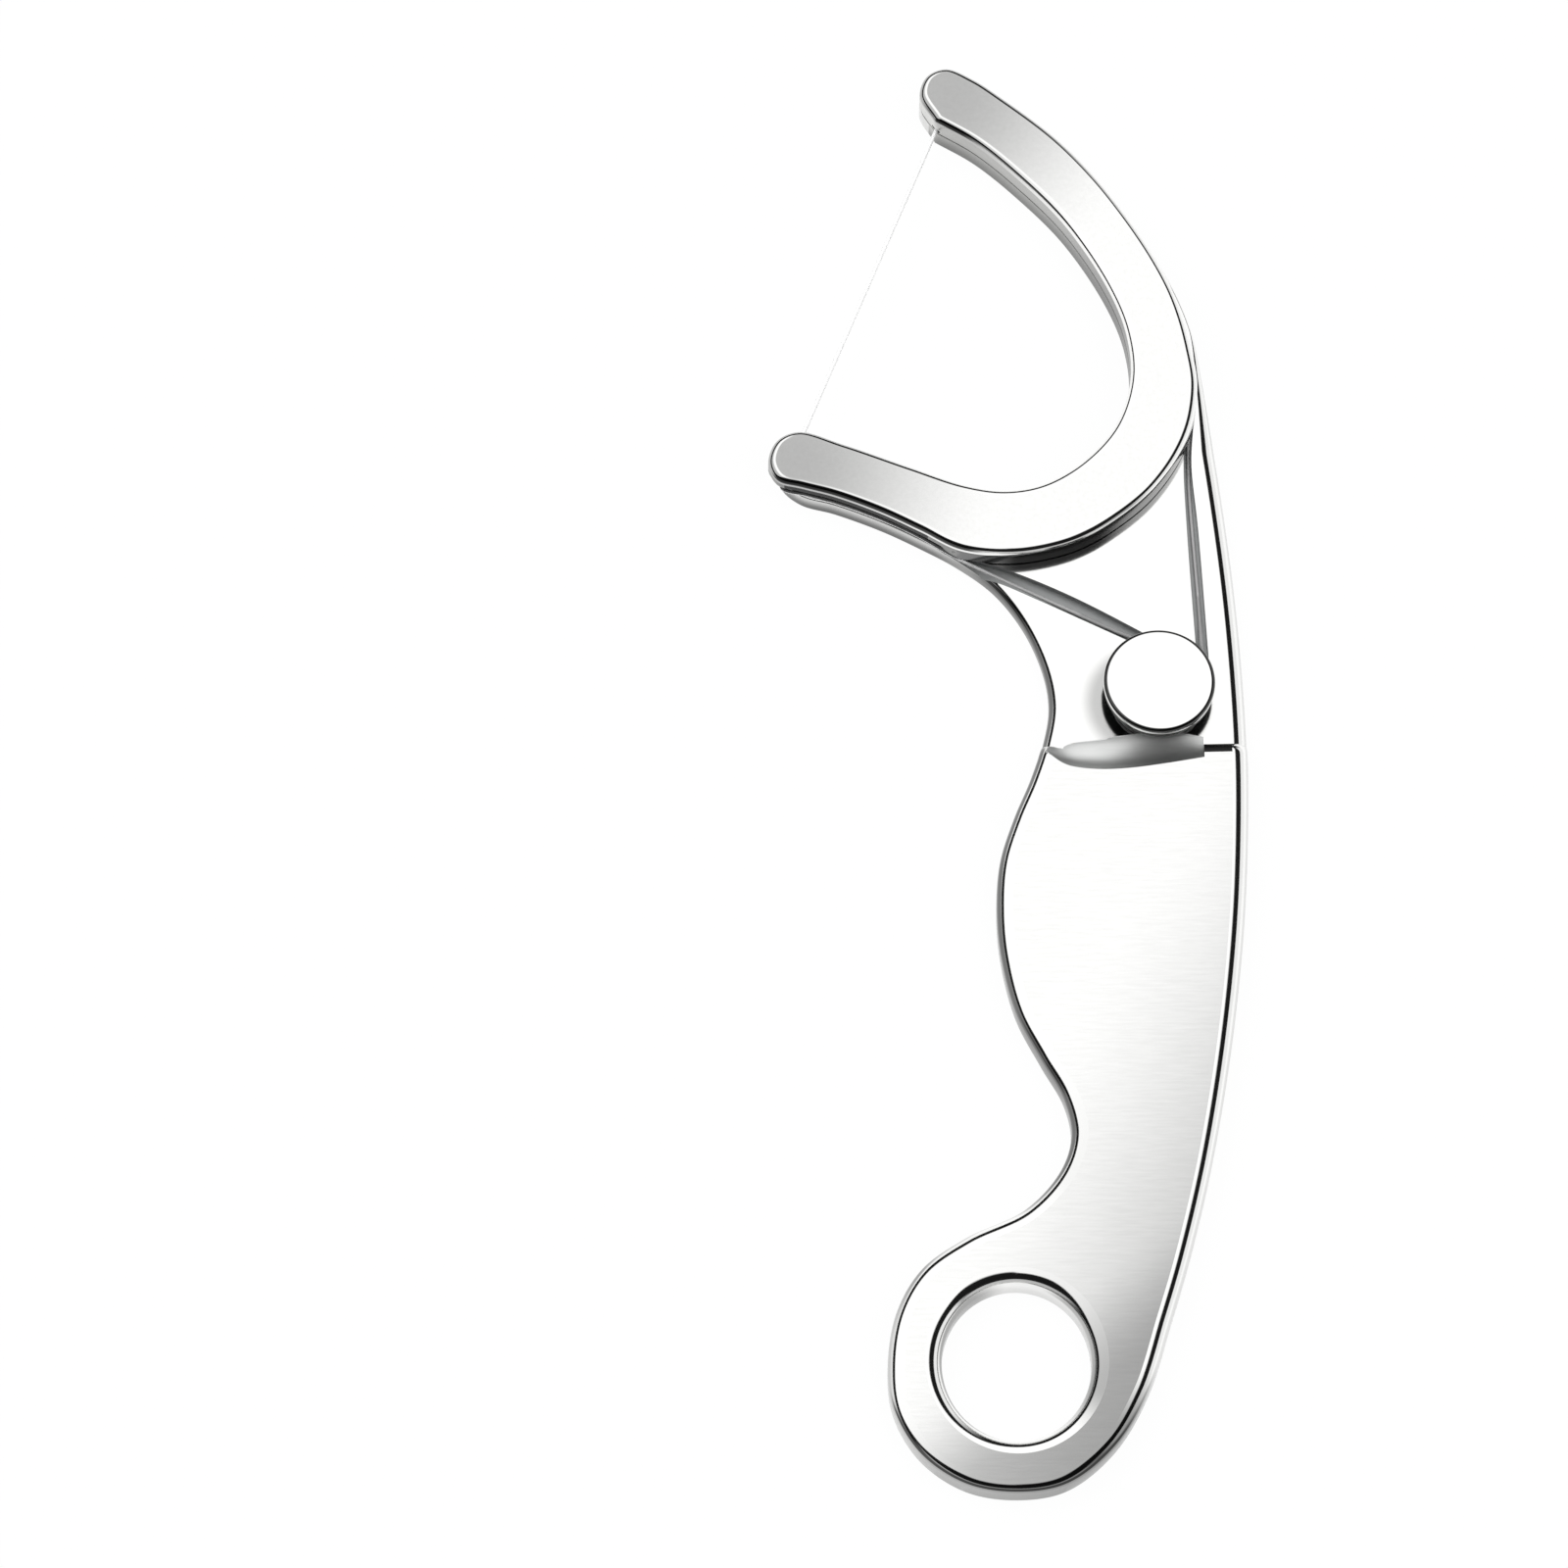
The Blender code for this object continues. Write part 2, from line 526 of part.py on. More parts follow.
def main():
    clear_scene()
    plate_steel = material("plate_steel", (0.62, 0.62, 0.61), 0.25, 1.0)
    cover_steel = material("cover_steel", (0.64, 0.64, 0.63), 0.22, 1.0)
    knob_steel = material("knob_steel", (0.66, 0.66, 0.65), 0.15, 1.0)
    washer_steel = material("washer_steel", (0.6, 0.6, 0.6), 0.3, 1.0)
    stud_steel = material("stud_steel", (0.55, 0.55, 0.56), 0.35, 1.0)
    pin_steel = material("pin_steel", (0.5, 0.5, 0.51), 0.35, 1.0)
    brass = material("brass", (0.72, 0.55, 0.26), 0.3, 1.0)
    fibre = material("fibre", (0.85, 0.84, 0.8), 0.6, 0.0)

    plate_guides = plan(PLATE_ARM + NECK_LEFT + GRIP_LEFT + RING + GRIP_RIGHT + NECK_RIGHT + PLATE_BACK
                        + UPPER_TIP + TIP_CORNER)
    plate_line = closed_outline(plate_guides, plan(TIP_CORNER + THROAT + PLATE_TIP + PLATE_ARM[:1]))
    cover_line, groove_shares = cover_outline()
    everywhere = plate_line + cover_line
    low = Vector([min(point[i] for point in everywhere) for i in range(2)])
    high = Vector([max(point[i] for point in everywhere) for i in range(2)])
    home = bpy.data.objects.new("home", None)
    bpy.context.scene.collection.objects.link(home)
    home.location = (-(low.x + high.x) / 2, -(low.y + high.y) / 2, 0.0)
    print("footprint in mm", [round(value / MM, 2) for value in high - low])
    print("home in mm", [round(value / MM, 4) for value in home.location])

    # Plate and cover
    plate = base_plate(plate_line, plate_steel)
    cover = fork_cover(cover_line, groove_shares, cover_steel)
    place(plate, home)
    place(cover, home)
    winding_radius = BARREL_RADIUS + FLOSS_TO_BARREL + FLOSS_RADIUS
    left_touch = (KNOB_X + winding_radius * 0.447, KNOB_Y + winding_radius * 0.894, CHANNEL_END_WIDE)
    right_touch = (KNOB_X + winding_radius + CHANNEL_END_WIDE / 4, KNOB_Y, CHANNEL_END_WIDE)
    tools = [ring_tool(), scoop_tool(),
             channel_tool("left_channel_tool", plan(CHANNEL_LEFT) + [Vector(left_touch)]),
             channel_tool("right_channel_tool", plan(CHANNEL_RIGHT) + [Vector(right_touch)])]
    for tool in tools:
        place(tool, home)
        cut(plate, tool)
    for name, ends in (("lower_slot_tool", SLOT_LOWER), ("upper_slot_tool", SLOT_UPPER)):
        tool = slot_tool(name, ends)
        place(tool, home)
        cut(cover, tool)

    # Dowel pins in blind holes, half in the plate and half in the cover
    seam_middle = NECK_THICK + SEAM / 2
    for number, (x, y) in enumerate(PIN_PLACES, 1):
        foot = seam_middle - PIN_IN_PLATE
        head = seam_middle + PIN_IN_COVER
        profile = [(0.0, foot), (PIN_RADIUS, foot), (PIN_RADIUS, head), (0.0, head)]
        pin = turned("cover_pin_%d" % number, profile, PIN_SEGMENTS, pin_steel)
        place(pin, home, x * PLAN_UNIT, y * PLAN_UNIT)
        smooth(pin)
        wide = PIN_RADIUS + PRESS_GAP
        profile = [(0.0, foot - PRESS_GAP), (wide, foot - PRESS_GAP), (wide, head + PRESS_GAP),
                   (0.0, head + PRESS_GAP)]
        tool = turned("pin_tool_%d" % number, profile, PIN_SEGMENTS)
        place(tool, home, x * PLAN_UNIT, y * PLAN_UNIT)
        cut(plate, tool)
        cut(cover, tool)

    # Knob: a flange and a barrel in one piece, with a blind bore for its threaded insert
    face = NECK_THICK + KNOB_ABOVE_NECK
    flange_foot = face - FLANGE_THICK
    barrel_foot = NECK_THICK + BARREL_ABOVE_NECK
    knob_radius = BARREL_RADIUS + FLANGE_WIDER
    bore_radius = BARREL_RADIUS - BARREL_TO_INSERT_WALL
    bore_roof = face - KNOB_ROOF
    profile = [(0.0, bore_roof), (bore_radius, bore_roof), (bore_radius, barrel_foot),
               (BARREL_RADIUS, barrel_foot), (BARREL_RADIUS, flange_foot)]
    edge = quarter(FLANGE_ROUND, ROUND_STEPS)
    profile += [(knob_radius - FLANGE_ROUND / 2, flange_foot), (knob_radius, flange_foot + FLANGE_ROUND / 2)]
    profile += [(knob_radius - depth, face - drop) for depth, drop in edge]
    profile += [(0.0, face)]
    knob = turned("knob", profile, ROUND_SEGMENTS, knob_steel)
    place(knob, home, KNOB_X, KNOB_Y)
    smooth(knob)

    insert_radius = bore_radius - PRESS_GAP
    thread_radius = insert_radius - INSERT_WALL
    insert_top = bore_roof - PRESS_GAP
    profile = [(thread_radius, barrel_foot), (insert_radius, barrel_foot), (insert_radius, insert_top),
               (thread_radius, insert_top)]
    insert = hollow("knob_insert", profile, ROUND_SEGMENTS, brass)
    place(insert, home, KNOB_X, KNOB_Y)
    smooth(insert)

    # Washer under the flange, round the barrel
    washer_top = flange_foot - RUNNING_GAP
    washer_foot = washer_top - WASHER_THICK
    washer_bore = BARREL_RADIUS + RUNNING_GAP
    washer_radius = knob_radius - WASHER_INSET
    profile = [(washer_bore, washer_foot), (washer_radius, washer_foot), (washer_radius, washer_top),
               (washer_bore, washer_top)]
    washer = hollow("clamp_washer", profile, ROUND_SEGMENTS, washer_steel)
    place(washer, home, KNOB_X, KNOB_Y)
    smooth(washer)

    # Stud: its head lies flush in the back of the plate, and its shank stands in the insert
    stud_radius = thread_radius - THREAD_GAP
    head_radius = stud_radius + STUD_HEAD_WIDER
    stud_top = face - STUD_BELOW_KNOB_FACE
    profile = [(0.0, 0.0), (head_radius, 0.0), (head_radius, STUD_HEAD_THICK), (stud_radius, STUD_HEAD_THICK),
               (stud_radius, stud_top - STUD_CHAMFER), (stud_radius - STUD_CHAMFER, stud_top),
               (0.0, stud_top)]
    stud = turned("clamp_stud", profile, ROUND_SEGMENTS, stud_steel)
    place(stud, home, KNOB_X, KNOB_Y)
    smooth(stud)
    hole = stud_radius + PRESS_GAP
    counterbore = head_radius + PRESS_GAP
    counterbore_roof = STUD_HEAD_THICK + PRESS_GAP
    profile = [(0.0, -CUT_PAST), (counterbore, -CUT_PAST), (counterbore, counterbore_roof),
               (hole, counterbore_roof), (hole, NECK_THICK + CUT_PAST), (0.0, NECK_THICK + CUT_PAST)]
    tool = turned("stud_tool", profile, ROUND_SEGMENTS)
    place(tool, home, KNOB_X, KNOB_Y)
    cut(plate, tool)

    # Floss
    points = floss_points()
    strand = floss(points, fibre)
    place(strand, home)
    print("floss points", len(points))
    print("least gap of the floss to itself in mm", round(least_gap(points, FLOSS_RADIUS) / MM, 2))
    smooth(plate, 35.0)
    smooth(cover, 35.0)


main()
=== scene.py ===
# %% [markdown]
# The object is a floss holder of stainless steel. A flat handle with a finger ring carries a C-shaped fork,
# and the floss is stretched between the fork's two tips. The imported model gives the bodies and the places
# of all the pieces, so it is loaded first.

# %% Load the imported model
import math

import bpy
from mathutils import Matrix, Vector


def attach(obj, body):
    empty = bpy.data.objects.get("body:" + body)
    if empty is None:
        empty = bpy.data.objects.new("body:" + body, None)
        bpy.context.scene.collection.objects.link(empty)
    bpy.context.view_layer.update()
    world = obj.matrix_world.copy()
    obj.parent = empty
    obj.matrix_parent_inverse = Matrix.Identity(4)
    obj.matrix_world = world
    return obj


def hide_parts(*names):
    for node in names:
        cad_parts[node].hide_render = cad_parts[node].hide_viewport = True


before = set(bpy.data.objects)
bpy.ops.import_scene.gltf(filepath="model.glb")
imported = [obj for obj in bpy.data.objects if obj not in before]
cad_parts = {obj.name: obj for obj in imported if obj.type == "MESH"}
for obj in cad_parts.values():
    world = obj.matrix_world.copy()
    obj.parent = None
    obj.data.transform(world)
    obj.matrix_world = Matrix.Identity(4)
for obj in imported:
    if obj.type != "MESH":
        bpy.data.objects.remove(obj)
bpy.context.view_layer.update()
MM = 0.001

# %% [markdown]
# The camera looks down at the holder from its ring end. A long lens from half a metre keeps the outline
# nearly free of perspective. It aims to the left of the holder, which then stands on the right of the
# frame.

# %% Camera
CAMERA_TILT = math.radians(22.5)
CAMERA_DISTANCE = 483.1 * MM
CAMERA_AIM = Vector((-16.6, -2.4, 2.0)) * MM
CAMERA_LENS = 150.0
CAMERA_CLIP = 10.0 * MM


def add(name, data):
    """A new object of the scene."""
    item = bpy.data.objects.new(name, data)
    bpy.context.scene.collection.objects.link(item)
    return item


camera_data = bpy.data.cameras.new("camera")
camera_data.lens = CAMERA_LENS
camera_data.clip_start = CAMERA_CLIP
camera = add("camera", camera_data)
towards_camera = Vector((0.0, -math.sin(CAMERA_TILT), math.cos(CAMERA_TILT)))
camera.location = CAMERA_AIM + towards_camera * CAMERA_DISTANCE
camera.rotation_euler = (CAMERA_TILT, 0.0, 0.0)
bpy.context.scene.camera = camera
bpy.context.scene.view_settings.view_transform = "Standard"
print("camera at", [round(value, 3) for value in camera.location])

# %% [markdown]
# A node tree is easier to read as a formula than as a list of links. A small class wraps a socket and
# overloads the operators, so that the sum of two sockets adds a Math node. Every other node comes from one
# method, which sets its settings first and its inputs afterwards.


# %% Shader maths
def two_values(operation, swapped=False):
    """An operator that adds a Math node on a signal and another value."""
    def run(self, other):
        return self.math(operation, other, self) if swapped else self.math(operation, self, other)

    return run


class Signal:
    """An output socket that can be used in a formula."""

    __add__ = __radd__ = two_values("ADD")
    __sub__ = two_values("SUBTRACT")
    __rsub__ = two_values("SUBTRACT", swapped=True)
    __mul__ = __rmul__ = two_values("MULTIPLY")
    __truediv__ = two_values("DIVIDE")
    __pow__ = two_values("POWER")
    high_of = two_values("MAXIMUM")
    low_of = two_values("MINIMUM")

    def __init__(self, tree, socket):
        self.tree = tree
        self.socket = socket

    def math(self, operation, *values):
        """A Math node on one or two values."""
        return self.tree.node("ShaderNodeMath", values, operation=operation)

    def alone(self, operation):
        """A Math node on this value alone, such as a cosine."""
        return self.math(operation, self)

    def smooth(self, low, high):
        """0 up to low and 1 from high on, with a soft run between them. High may be the smaller."""
        if low > high:
            return 1 - self.smooth(high, low)
        return self.tree.node("ShaderNodeMapRange", {"Value": self, "From Min": low, "From Max": high},
                              interpolation_type="SMOOTHSTEP")

    def fade(self, low, high):
        """The same between two lengths in mm."""
        return self.smooth(low * MM, high * MM)


class Tree:
    """The nodes of one material or world."""

    def __init__(self, node_tree):
        self.nodes = node_tree.nodes
        self.links = node_tree.links

    def node(self, kind, values=(), output=0, **settings):
        """A new node with its settings and then its inputs, as the signal of one of its outputs."""
        made = self.nodes.new(kind)
        for name, value in settings.items():
            setattr(made, name, value)
        for key, value in (values.items() if isinstance(values, dict) else enumerate(values)):
            self.feed(made.inputs[key], value)
        return Signal(self, made.outputs[output])

    def feed(self, socket, value):
        """Links a signal to an input, or sets the input to a value."""
        if isinstance(value, Signal):
            self.links.new(value.socket, socket)
        else:
            socket.default_value = value

    def coordinates(self, kind):
        """The place on the object, its normal or, in a world, the direction."""
        return self.node("ShaderNodeTexCoord", (), kind)

    def split(self, vector):
        """The x, y and z of a vector."""
        outputs = self.node("ShaderNodeSeparateXYZ", [vector]).socket.node.outputs
        return [Signal(self, output) for output in outputs]

    def mix(self, factor, first, second):
        """A colour between two colours."""
        return self.node("ShaderNodeMix", {0: factor, 6: first, 7: second}, 2, data_type="RGBA")

    def colour(self, red, green, blue):
        """A colour from three numbers."""
        return self.node("ShaderNodeCombineColor", [red, green, blue])


def grey(value):
    """A plain grey for a colour input."""
    return (value, value, value, 1.0)


def new_material(name):
    """A material, its tree and its Principled BSDF."""
    made = bpy.data.materials.new(name)
    made.use_nodes = True
    return made, Tree(made.node_tree), made.node_tree.nodes["Principled BSDF"]


# %% [markdown]
# The holder lies on a white table under a soft dome. Polished steel has no colour of its own and shows only
# the room, so the room matters: bright overhead, with a dark zone lower down and round the photographer.
# That zone draws the thin black lines along every rounded edge, helped by painted reflections in the edges'
# colour. The camera itself sees plain white.

# %% Room and table
WORLD_BRIGHT = 1.1
WORLD_DARK = 0.01
HORIZON_BRIGHT = 0.8
NEAR_BAND_BRIGHT = 0.5
DOME_EDGE = 0.34
DOME_EDGE_MOST = 0.93
HORIZON_TOP = 0.45
NEAR_BAND_TOP = 0.37
FLOOR_HALF = 1.5
FLOOR_DROP = 0.03 * MM
FLOOR_SEEN = 0.97
FLOOR_MIRRORED = 0.6

world = bpy.data.worlds.new("studio")
world.use_nodes = True
bpy.context.scene.world = world
room = Tree(world.node_tree)
background = world.node_tree.nodes["Background"]
east, north, height = room.split(room.coordinates("Generated"))
# How far each direction leans to the right and to the near side, from -1 to 1
level = (east * east + north * north + 0.0001) ** 0.5
right = east / level
near = 0 - north / level
# Sine of the elevation where the bright dome ends: high on the right and near side, lowest on the left
edge = DOME_EDGE + 0.5 * right.smooth(0.0, 0.8) + 0.55 * near.smooth(0.0, 0.8)
edge = (edge + 0.08 * (0 - near).smooth(0.6, 1.0)).low_of(DOME_EDGE_MOST)
overhead = (height - edge).smooth(-0.02, 0.05)
horizon = (HORIZON_TOP - height).smooth(-0.02, 0.03) * right.smooth(0.3, 0.7) * (1 - near.smooth(0.3, 0.7))
# A dimmer band low on the near side, which the faces mirror when the holder is seen from its fork end
near_band = NEAR_BAND_BRIGHT * (NEAR_BAND_TOP - height).smooth(0.0, 0.06) * near.smooth(0.3, 0.7)
lit = overhead.high_of(HORIZON_BRIGHT * horizon).high_of(near_band)
brightness = WORLD_DARK + (WORLD_BRIGHT - WORLD_DARK) * lit
is_camera = room.node("ShaderNodeLightPath", (), "Is Camera Ray")
room.feed(background.inputs["Color"], room.mix(is_camera, brightness, grey(1.0)))
background.inputs["Strength"].default_value = 1.0

floor_mesh = bpy.data.meshes.new("floor")
corners = [(-1, -1), (1, -1), (1, 1), (-1, 1)]
vertices = [(x * FLOOR_HALF, y * FLOOR_HALF, -FLOOR_DROP) for x, y in corners]
floor_mesh.from_pydata(vertices, [], [(0, 1, 2, 3)])
floor = add("floor", floor_mesh)

# For the camera and for mirror rays the table is mostly white by itself; the rest is paper with a shadow
paper, table, shader = new_material("white_paper")
floor_mesh.materials.append(paper)
seen = table.node("ShaderNodeLightPath", (), "Is Camera Ray") * FLOOR_SEEN
mirrored = table.node("ShaderNodeLightPath", (), "Is Glossy Ray") * FLOOR_MIRRORED
shader.inputs["Base Color"].default_value = grey(0.9)
shader.inputs["Roughness"].default_value = 0.9
white = table.node("ShaderNodeEmission", {"Color": grey(1.0), "Strength": 1.0})
lit_paper = Signal(table, shader.outputs[0])
blend = table.node("ShaderNodeMixShader", [seen.high_of(mirrored), lit_paper, white])
table.feed(paper.node_tree.nodes["Material Output"].inputs["Surface"], blend)
print("world and floor made")

# %% [markdown]
# Two large soft lamps stand high on either side. They give the white table and the floss a plain level of
# light and leave a faint shadow under the handle. Polished steel would mirror them as bright squares, so
# they could be shaded with a tent; here it is simpler to leave them out of the mirror images.

# %% Soft lamps
LAMP_SIZE = 0.4
LAMP_POWER = 1.9


def lamp(name, place):
    """A square area lamp that looks at the middle of the holder."""
    data = bpy.data.lights.new(name, "AREA")
    data.shape = "SQUARE"
    data.size = LAMP_SIZE
    data.energy = LAMP_POWER
    item = add(name, data)
    item.location = place
    item.rotation_euler = (-place).to_track_quat("-Z", "Y").to_euler()
    item.visible_glossy = False


lamp("left_lamp", Vector((-0.35, 0.1, 0.5)))
lamp("right_lamp", Vector((0.35, -0.15, 0.5)))

# %% [markdown]
# The outlines of the plate and the cover are smooth curves through a few points, drawn with the middle of
# the finger ring as their zero. The same points as in the CAD source are used, but the curves are followed
# with many more steps, so that the long polished edges stay smooth when they mirror the room.

# %% Outline points in mm
HOME = Vector((0.0135, -47.025)) * MM
PLATE_ARM = [(-15.3, 68.15), (-12.8, 67.4), (-9.3, 66.0), (-6.35, 64.5)]
NECK_LEFT = [(-3.6, 62.9), (-0.85, 60.7), (1.35, 57.6), (2.75, 54.0), (3.1, 51.2), (2.65, 48.4)]
GRIP_LEFT = [(1.65, 45.2), (0.35, 42.0), (-0.7, 38.6), (-1.0, 35.0), (-0.75, 31.2), (0.3, 26.7),
             (2.1, 23.0), (3.7, 20.0), (4.2, 17.3), (3.4, 14.6), (0.8, 11.6)]
RING = [(-3.5, 9.45), (-6.7, 7.1), (-8.5, 4.0), (-9.2, 0.2), (-8.85, -3.5), (-6.95, -6.85), (-3.7, -9.1),
        (0.0, -9.7), (3.5, -9.05), (6.9, -6.3), (9.4, -2.1)]
GRIP_RIGHT = [(11.2, 3.4), (12.7, 8.4), (14.5, 15.8), (16.1, 24.8), (17.2, 34.0), (17.7, 42.6)]
NECK_RIGHT = [(17.75, 49.0), (17.3, 58.8), (16.4, 68.3)]
PLATE_BACK = [(15.1, 78.2), (14.5, 81.6), (13.55, 84.6), (12.05, 87.85), (10.0, 91.3), (7.65, 94.65),
              (4.7, 98.0), (0.6, 101.5), (-1.8, 103.05)]
UPPER_TIP = [(-4.1, 103.75), (-5.6, 103.1), (-6.15, 101.4)]
TIP_CORNER = [(-4.95, 99.1)]
THROAT = [(-1.95, 97.2), (1.5, 94.05), (4.85, 90.25), (8.0, 84.9), (9.35, 81.0), (9.6, 77.2), (8.4, 73.3),
          (5.9, 70.3), (2.9, 68.4), (0.0, 67.85), (-3.0, 68.3), (-7.0, 69.75), (-12.0, 71.65)]
PLATE_TIP = [(-14.9, 72.3), (-16.5, 71.8), (-17.2, 70.6), (-16.7, 69.3)]
COVER_ARM = [(-15.3, 68.1), *PLATE_ARM[1:]]
CRESCENT = [(-3.4, 62.95), (0.6, 62.55), (4.15, 63.2), (6.5, 64.2), (8.9, 65.85), (10.75, 67.5),
            (12.1, 69.15), (13.1, 70.75), (13.9, 72.5), (14.4, 74.3)]
COVER_BACK = [(14.65, 76.9), (14.3, 79.6), (13.75, 82.2), (12.95, 84.7), (11.6, 87.6), (9.6, 91.0),
              (7.3, 94.3), (4.3, 97.7), (0.3, 101.1), (-2.0, 102.8)]
COVER_TIP = [(-15.5, 72.75), (-17.15, 72.0), (-17.8, 70.2), (-17.1, 68.65)]

# %% [markdown]
# The real plate is cut from sheet along a smooth line. Such a line could be a Bezier curve, but its handles
# are hard to place. A Catmull-Rom curve goes through its points, so each point can be put straight on the
# edge that it follows.

# %% Curves through points
TINY = 1e-7
OUTLINE_SPACING = 0.3 * MM


def plan(points):
    """Points in mm as vectors in metres."""
    return [Vector([value * MM for value in point]) for point in points]


def curve_point(before, start, end, after, share):
    """A point of the centripetal Catmull-Rom curve between start and end."""
    points = [before, start, end, after]
    knots = [0.0]
    for first, second in zip(points, points[1:]):
        knots.append(knots[-1] + max((second - first).length, TINY) ** 0.5)
    t = knots[1] + share * (knots[2] - knots[1])

    def mix(a, b, low, high):
        return a * ((high - t) / (high - low)) + b * ((t - low) / (high - low))

    for span in (1, 2):
        points = [mix(points[i], points[i + 1], knots[i], knots[i + span]) for i in range(len(points) - 1)]
    return mix(*points, knots[1], knots[2])


def smooth_run(points, spacing, before=None, after=None):
    """Points along an open smooth curve through the given points, both ends included."""
    before = before if before is not None else points[0] * 2 - points[1]
    after = after if after is not None else points[-1] * 2 - points[-2]
    guides = [before, *points, after]
    run = []
    for i in range(1, len(guides) - 2):
        steps = max(1, round((guides[i + 1] - guides[i]).length / spacing))
        for k in range(steps):
            run.append(curve_point(guides[i - 1], guides[i], guides[i + 1], guides[i + 2], k / steps))
    run.append(points[-1])
    return run


def line_through(points, spacing=OUTLINE_SPACING):
    """The smooth line through points in mm."""
    return smooth_run(plan(points), spacing)


def closed_outline(outer, throat):
    """A smooth outer run to the corner of the upper tip, then a smooth run back from it."""
    first = smooth_run(outer, OUTLINE_SPACING, before=throat[-2])
    second = smooth_run(throat, OUTLINE_SPACING, after=outer[1])
    return first + second[1:-1]


def side_normals(outline):
    """Vectors out of a counter-clockwise outline, lengthened at corners."""
    normals = []
    for i, point in enumerate(outline):
        back = (point - outline[i - 1]).normalized()
        ahead = (outline[(i + 1) % len(outline)] - point).normalized()
        middle = (back + ahead).normalized()
        normals.append(Vector((middle.y, -middle.x)) / max(0.5, middle.dot(ahead)))
    return normals


def inset(outline, depths):
    """The outline moved inwards, by its own depth at each point."""
    return [point - normal * depth for point, normal, depth in zip(outline, side_normals(outline), depths)]


def quarter(radius, steps):
    """Depth and drop of each point of a rounded edge, from the wall up to the face."""
    turn = math.pi / 2 / steps
    return [(radius * (1 - math.cos(turn * i)), radius * (1 - math.sin(turn * i))) for i in range(steps + 1)]


def between(value, start, end):
    """0 before start, 1 after end and even between them."""
    return min(1.0, max(0.0, (value - start) / (end - start)))


# %% [markdown]
# Both plates are built like a stack of contour lines: each ring of points lies a little higher than the one
# before, and the last one is closed by the face. A cutter taken out with a Boolean does the work of the
# mill.


# %% Mesh helpers
def link(name, vertices, faces):
    """Makes a named object from vertices in metres and faces."""
    mesh = bpy.data.meshes.new(name)
    mesh.from_pydata(vertices, [], faces)
    mesh.validate()
    return add(name, mesh)


def walls(rings):
    """Vertices and faces of rings of (x, y, z) with equal counts, from the lowest up, closed below only."""
    count = len(rings[0])
    vertices = [(x + HOME.x, y + HOME.y, z) for ring in rings for x, y, z in ring]
    faces = [tuple(reversed(range(count)))]
    for lower in range(0, (len(rings) - 1) * count, count):
        upper = lower + count
        for i in range(count):
            k = (i + 1) % count
            faces.append((lower + i, lower + k, upper + k, upper + i))
    return vertices, faces


def stack(name, rings):
    """A closed solid from rings, capped flat at both ends."""
    vertices, faces = walls(rings)
    faces.append(tuple(range(len(vertices) - len(rings[0]), len(vertices))))
    return link(name, vertices, faces)


def circle(count):
    """Points of a circle with a radius of 1."""
    turn = 2 * math.pi / count
    return [(math.cos(turn * i), math.sin(turn * i)) for i in range(count)]


def modified(item):
    """The mesh of an object after its modifiers."""
    bpy.context.view_layer.update()
    return bpy.data.meshes.new_from_object(item.evaluated_get(bpy.context.evaluated_depsgraph_get()))


def bake(item):
    """Turns a mesh object with modifiers into a plain one."""
    mesh = modified(item)
    item.modifiers.clear()
    item.data = mesh


def cut(item, tools):
    """Cuts the tools out of a solid and removes them."""
    for tool in tools:
        modifier = item.modifiers.new("cut", "BOOLEAN")
        modifier.operation = "DIFFERENCE"
        modifier.solver = "EXACT"
        modifier.object = tool
    bake(item)
    for tool in tools:
        bpy.data.objects.remove(tool, do_unlink=True)


# %% [markdown]
# The handle is one plate of steel. The grip is thicker than the neck, a rounded step joins the two, and all
# edges of the face have a broad polished round. Rings of points from the back to the face, each a copy of
# the outline moved inwards, give the rounds exactly, which a Bevel modifier would not do on so long a face.

# %% Plate body
GRIP_THICK = 2.6 * MM
NECK_THICK = 1.8 * MM
COVER_THICK = 1.95 * MM
SEAM = 0.15 * MM
FACE_ROUND = 1.2 * MM
LOW_ROUND = 0.7 * MM
FORK_ROUND = 0.15 * MM
BACK_ROUND = 0.25 * MM
COVER_ROUND = 0.6 * MM
STEP_Y = 47.0 * MM
STEP_LONG = 0.9 * MM
LEFT_FORK_Y = 66.0 * MM
LEFT_FADE = 4.0 * MM
RIGHT_FORK_Y = 82.0 * MM
RIGHT_FADE = 10.0 * MM
KNOB_X = 11.2 * MM
ROUND_STEPS = 12


def plate_height(y):
    """Height of the plate's face along its length: the grip, a rounded step and the neck."""
    along = between(y, STEP_Y, STEP_Y + STEP_LONG)
    return NECK_THICK + (GRIP_THICK - NECK_THICK) * math.sqrt(max(0.0, 1 - along ** 2))


def fork_share(point):
    """0 on the grip and the neck, 1 along the fork, where the plate's edge is sharp under the cover."""
    if point.x > KNOB_X:
        return between(point.y, RIGHT_FORK_Y - RIGHT_FADE, RIGHT_FORK_Y)
    return between(point.y, LEFT_FORK_Y - LEFT_FADE, LEFT_FORK_Y)


def plate_round(point, normal):
    """Radius of the plate's face edge at a point of the outline, smaller where it faces the ring end."""
    radius = FACE_ROUND + (LOW_ROUND - FACE_ROUND) * max(0.0, -normal.normalized().y)
    return radius + (FORK_ROUND - radius) * fork_share(point)


def with_levels(outline, levels):
    """The outline with a point wherever it crosses a level along Y, and none of its own among the levels."""
    margin = OUTLINE_SPACING / 4
    kept = [point for point in outline if not levels[0] - margin < point.y < levels[-1] + margin]
    result = []
    for i, point in enumerate(kept):
        result.append(point)
        after = kept[(i + 1) % len(kept)]
        crossed = [level for level in levels if min(point.y, after.y) < level < max(point.y, after.y)]
        for level in sorted(crossed, reverse=after.y < point.y):
            result.append(point.lerp(after, (level - point.y) / (after.y - point.y)))
    return result


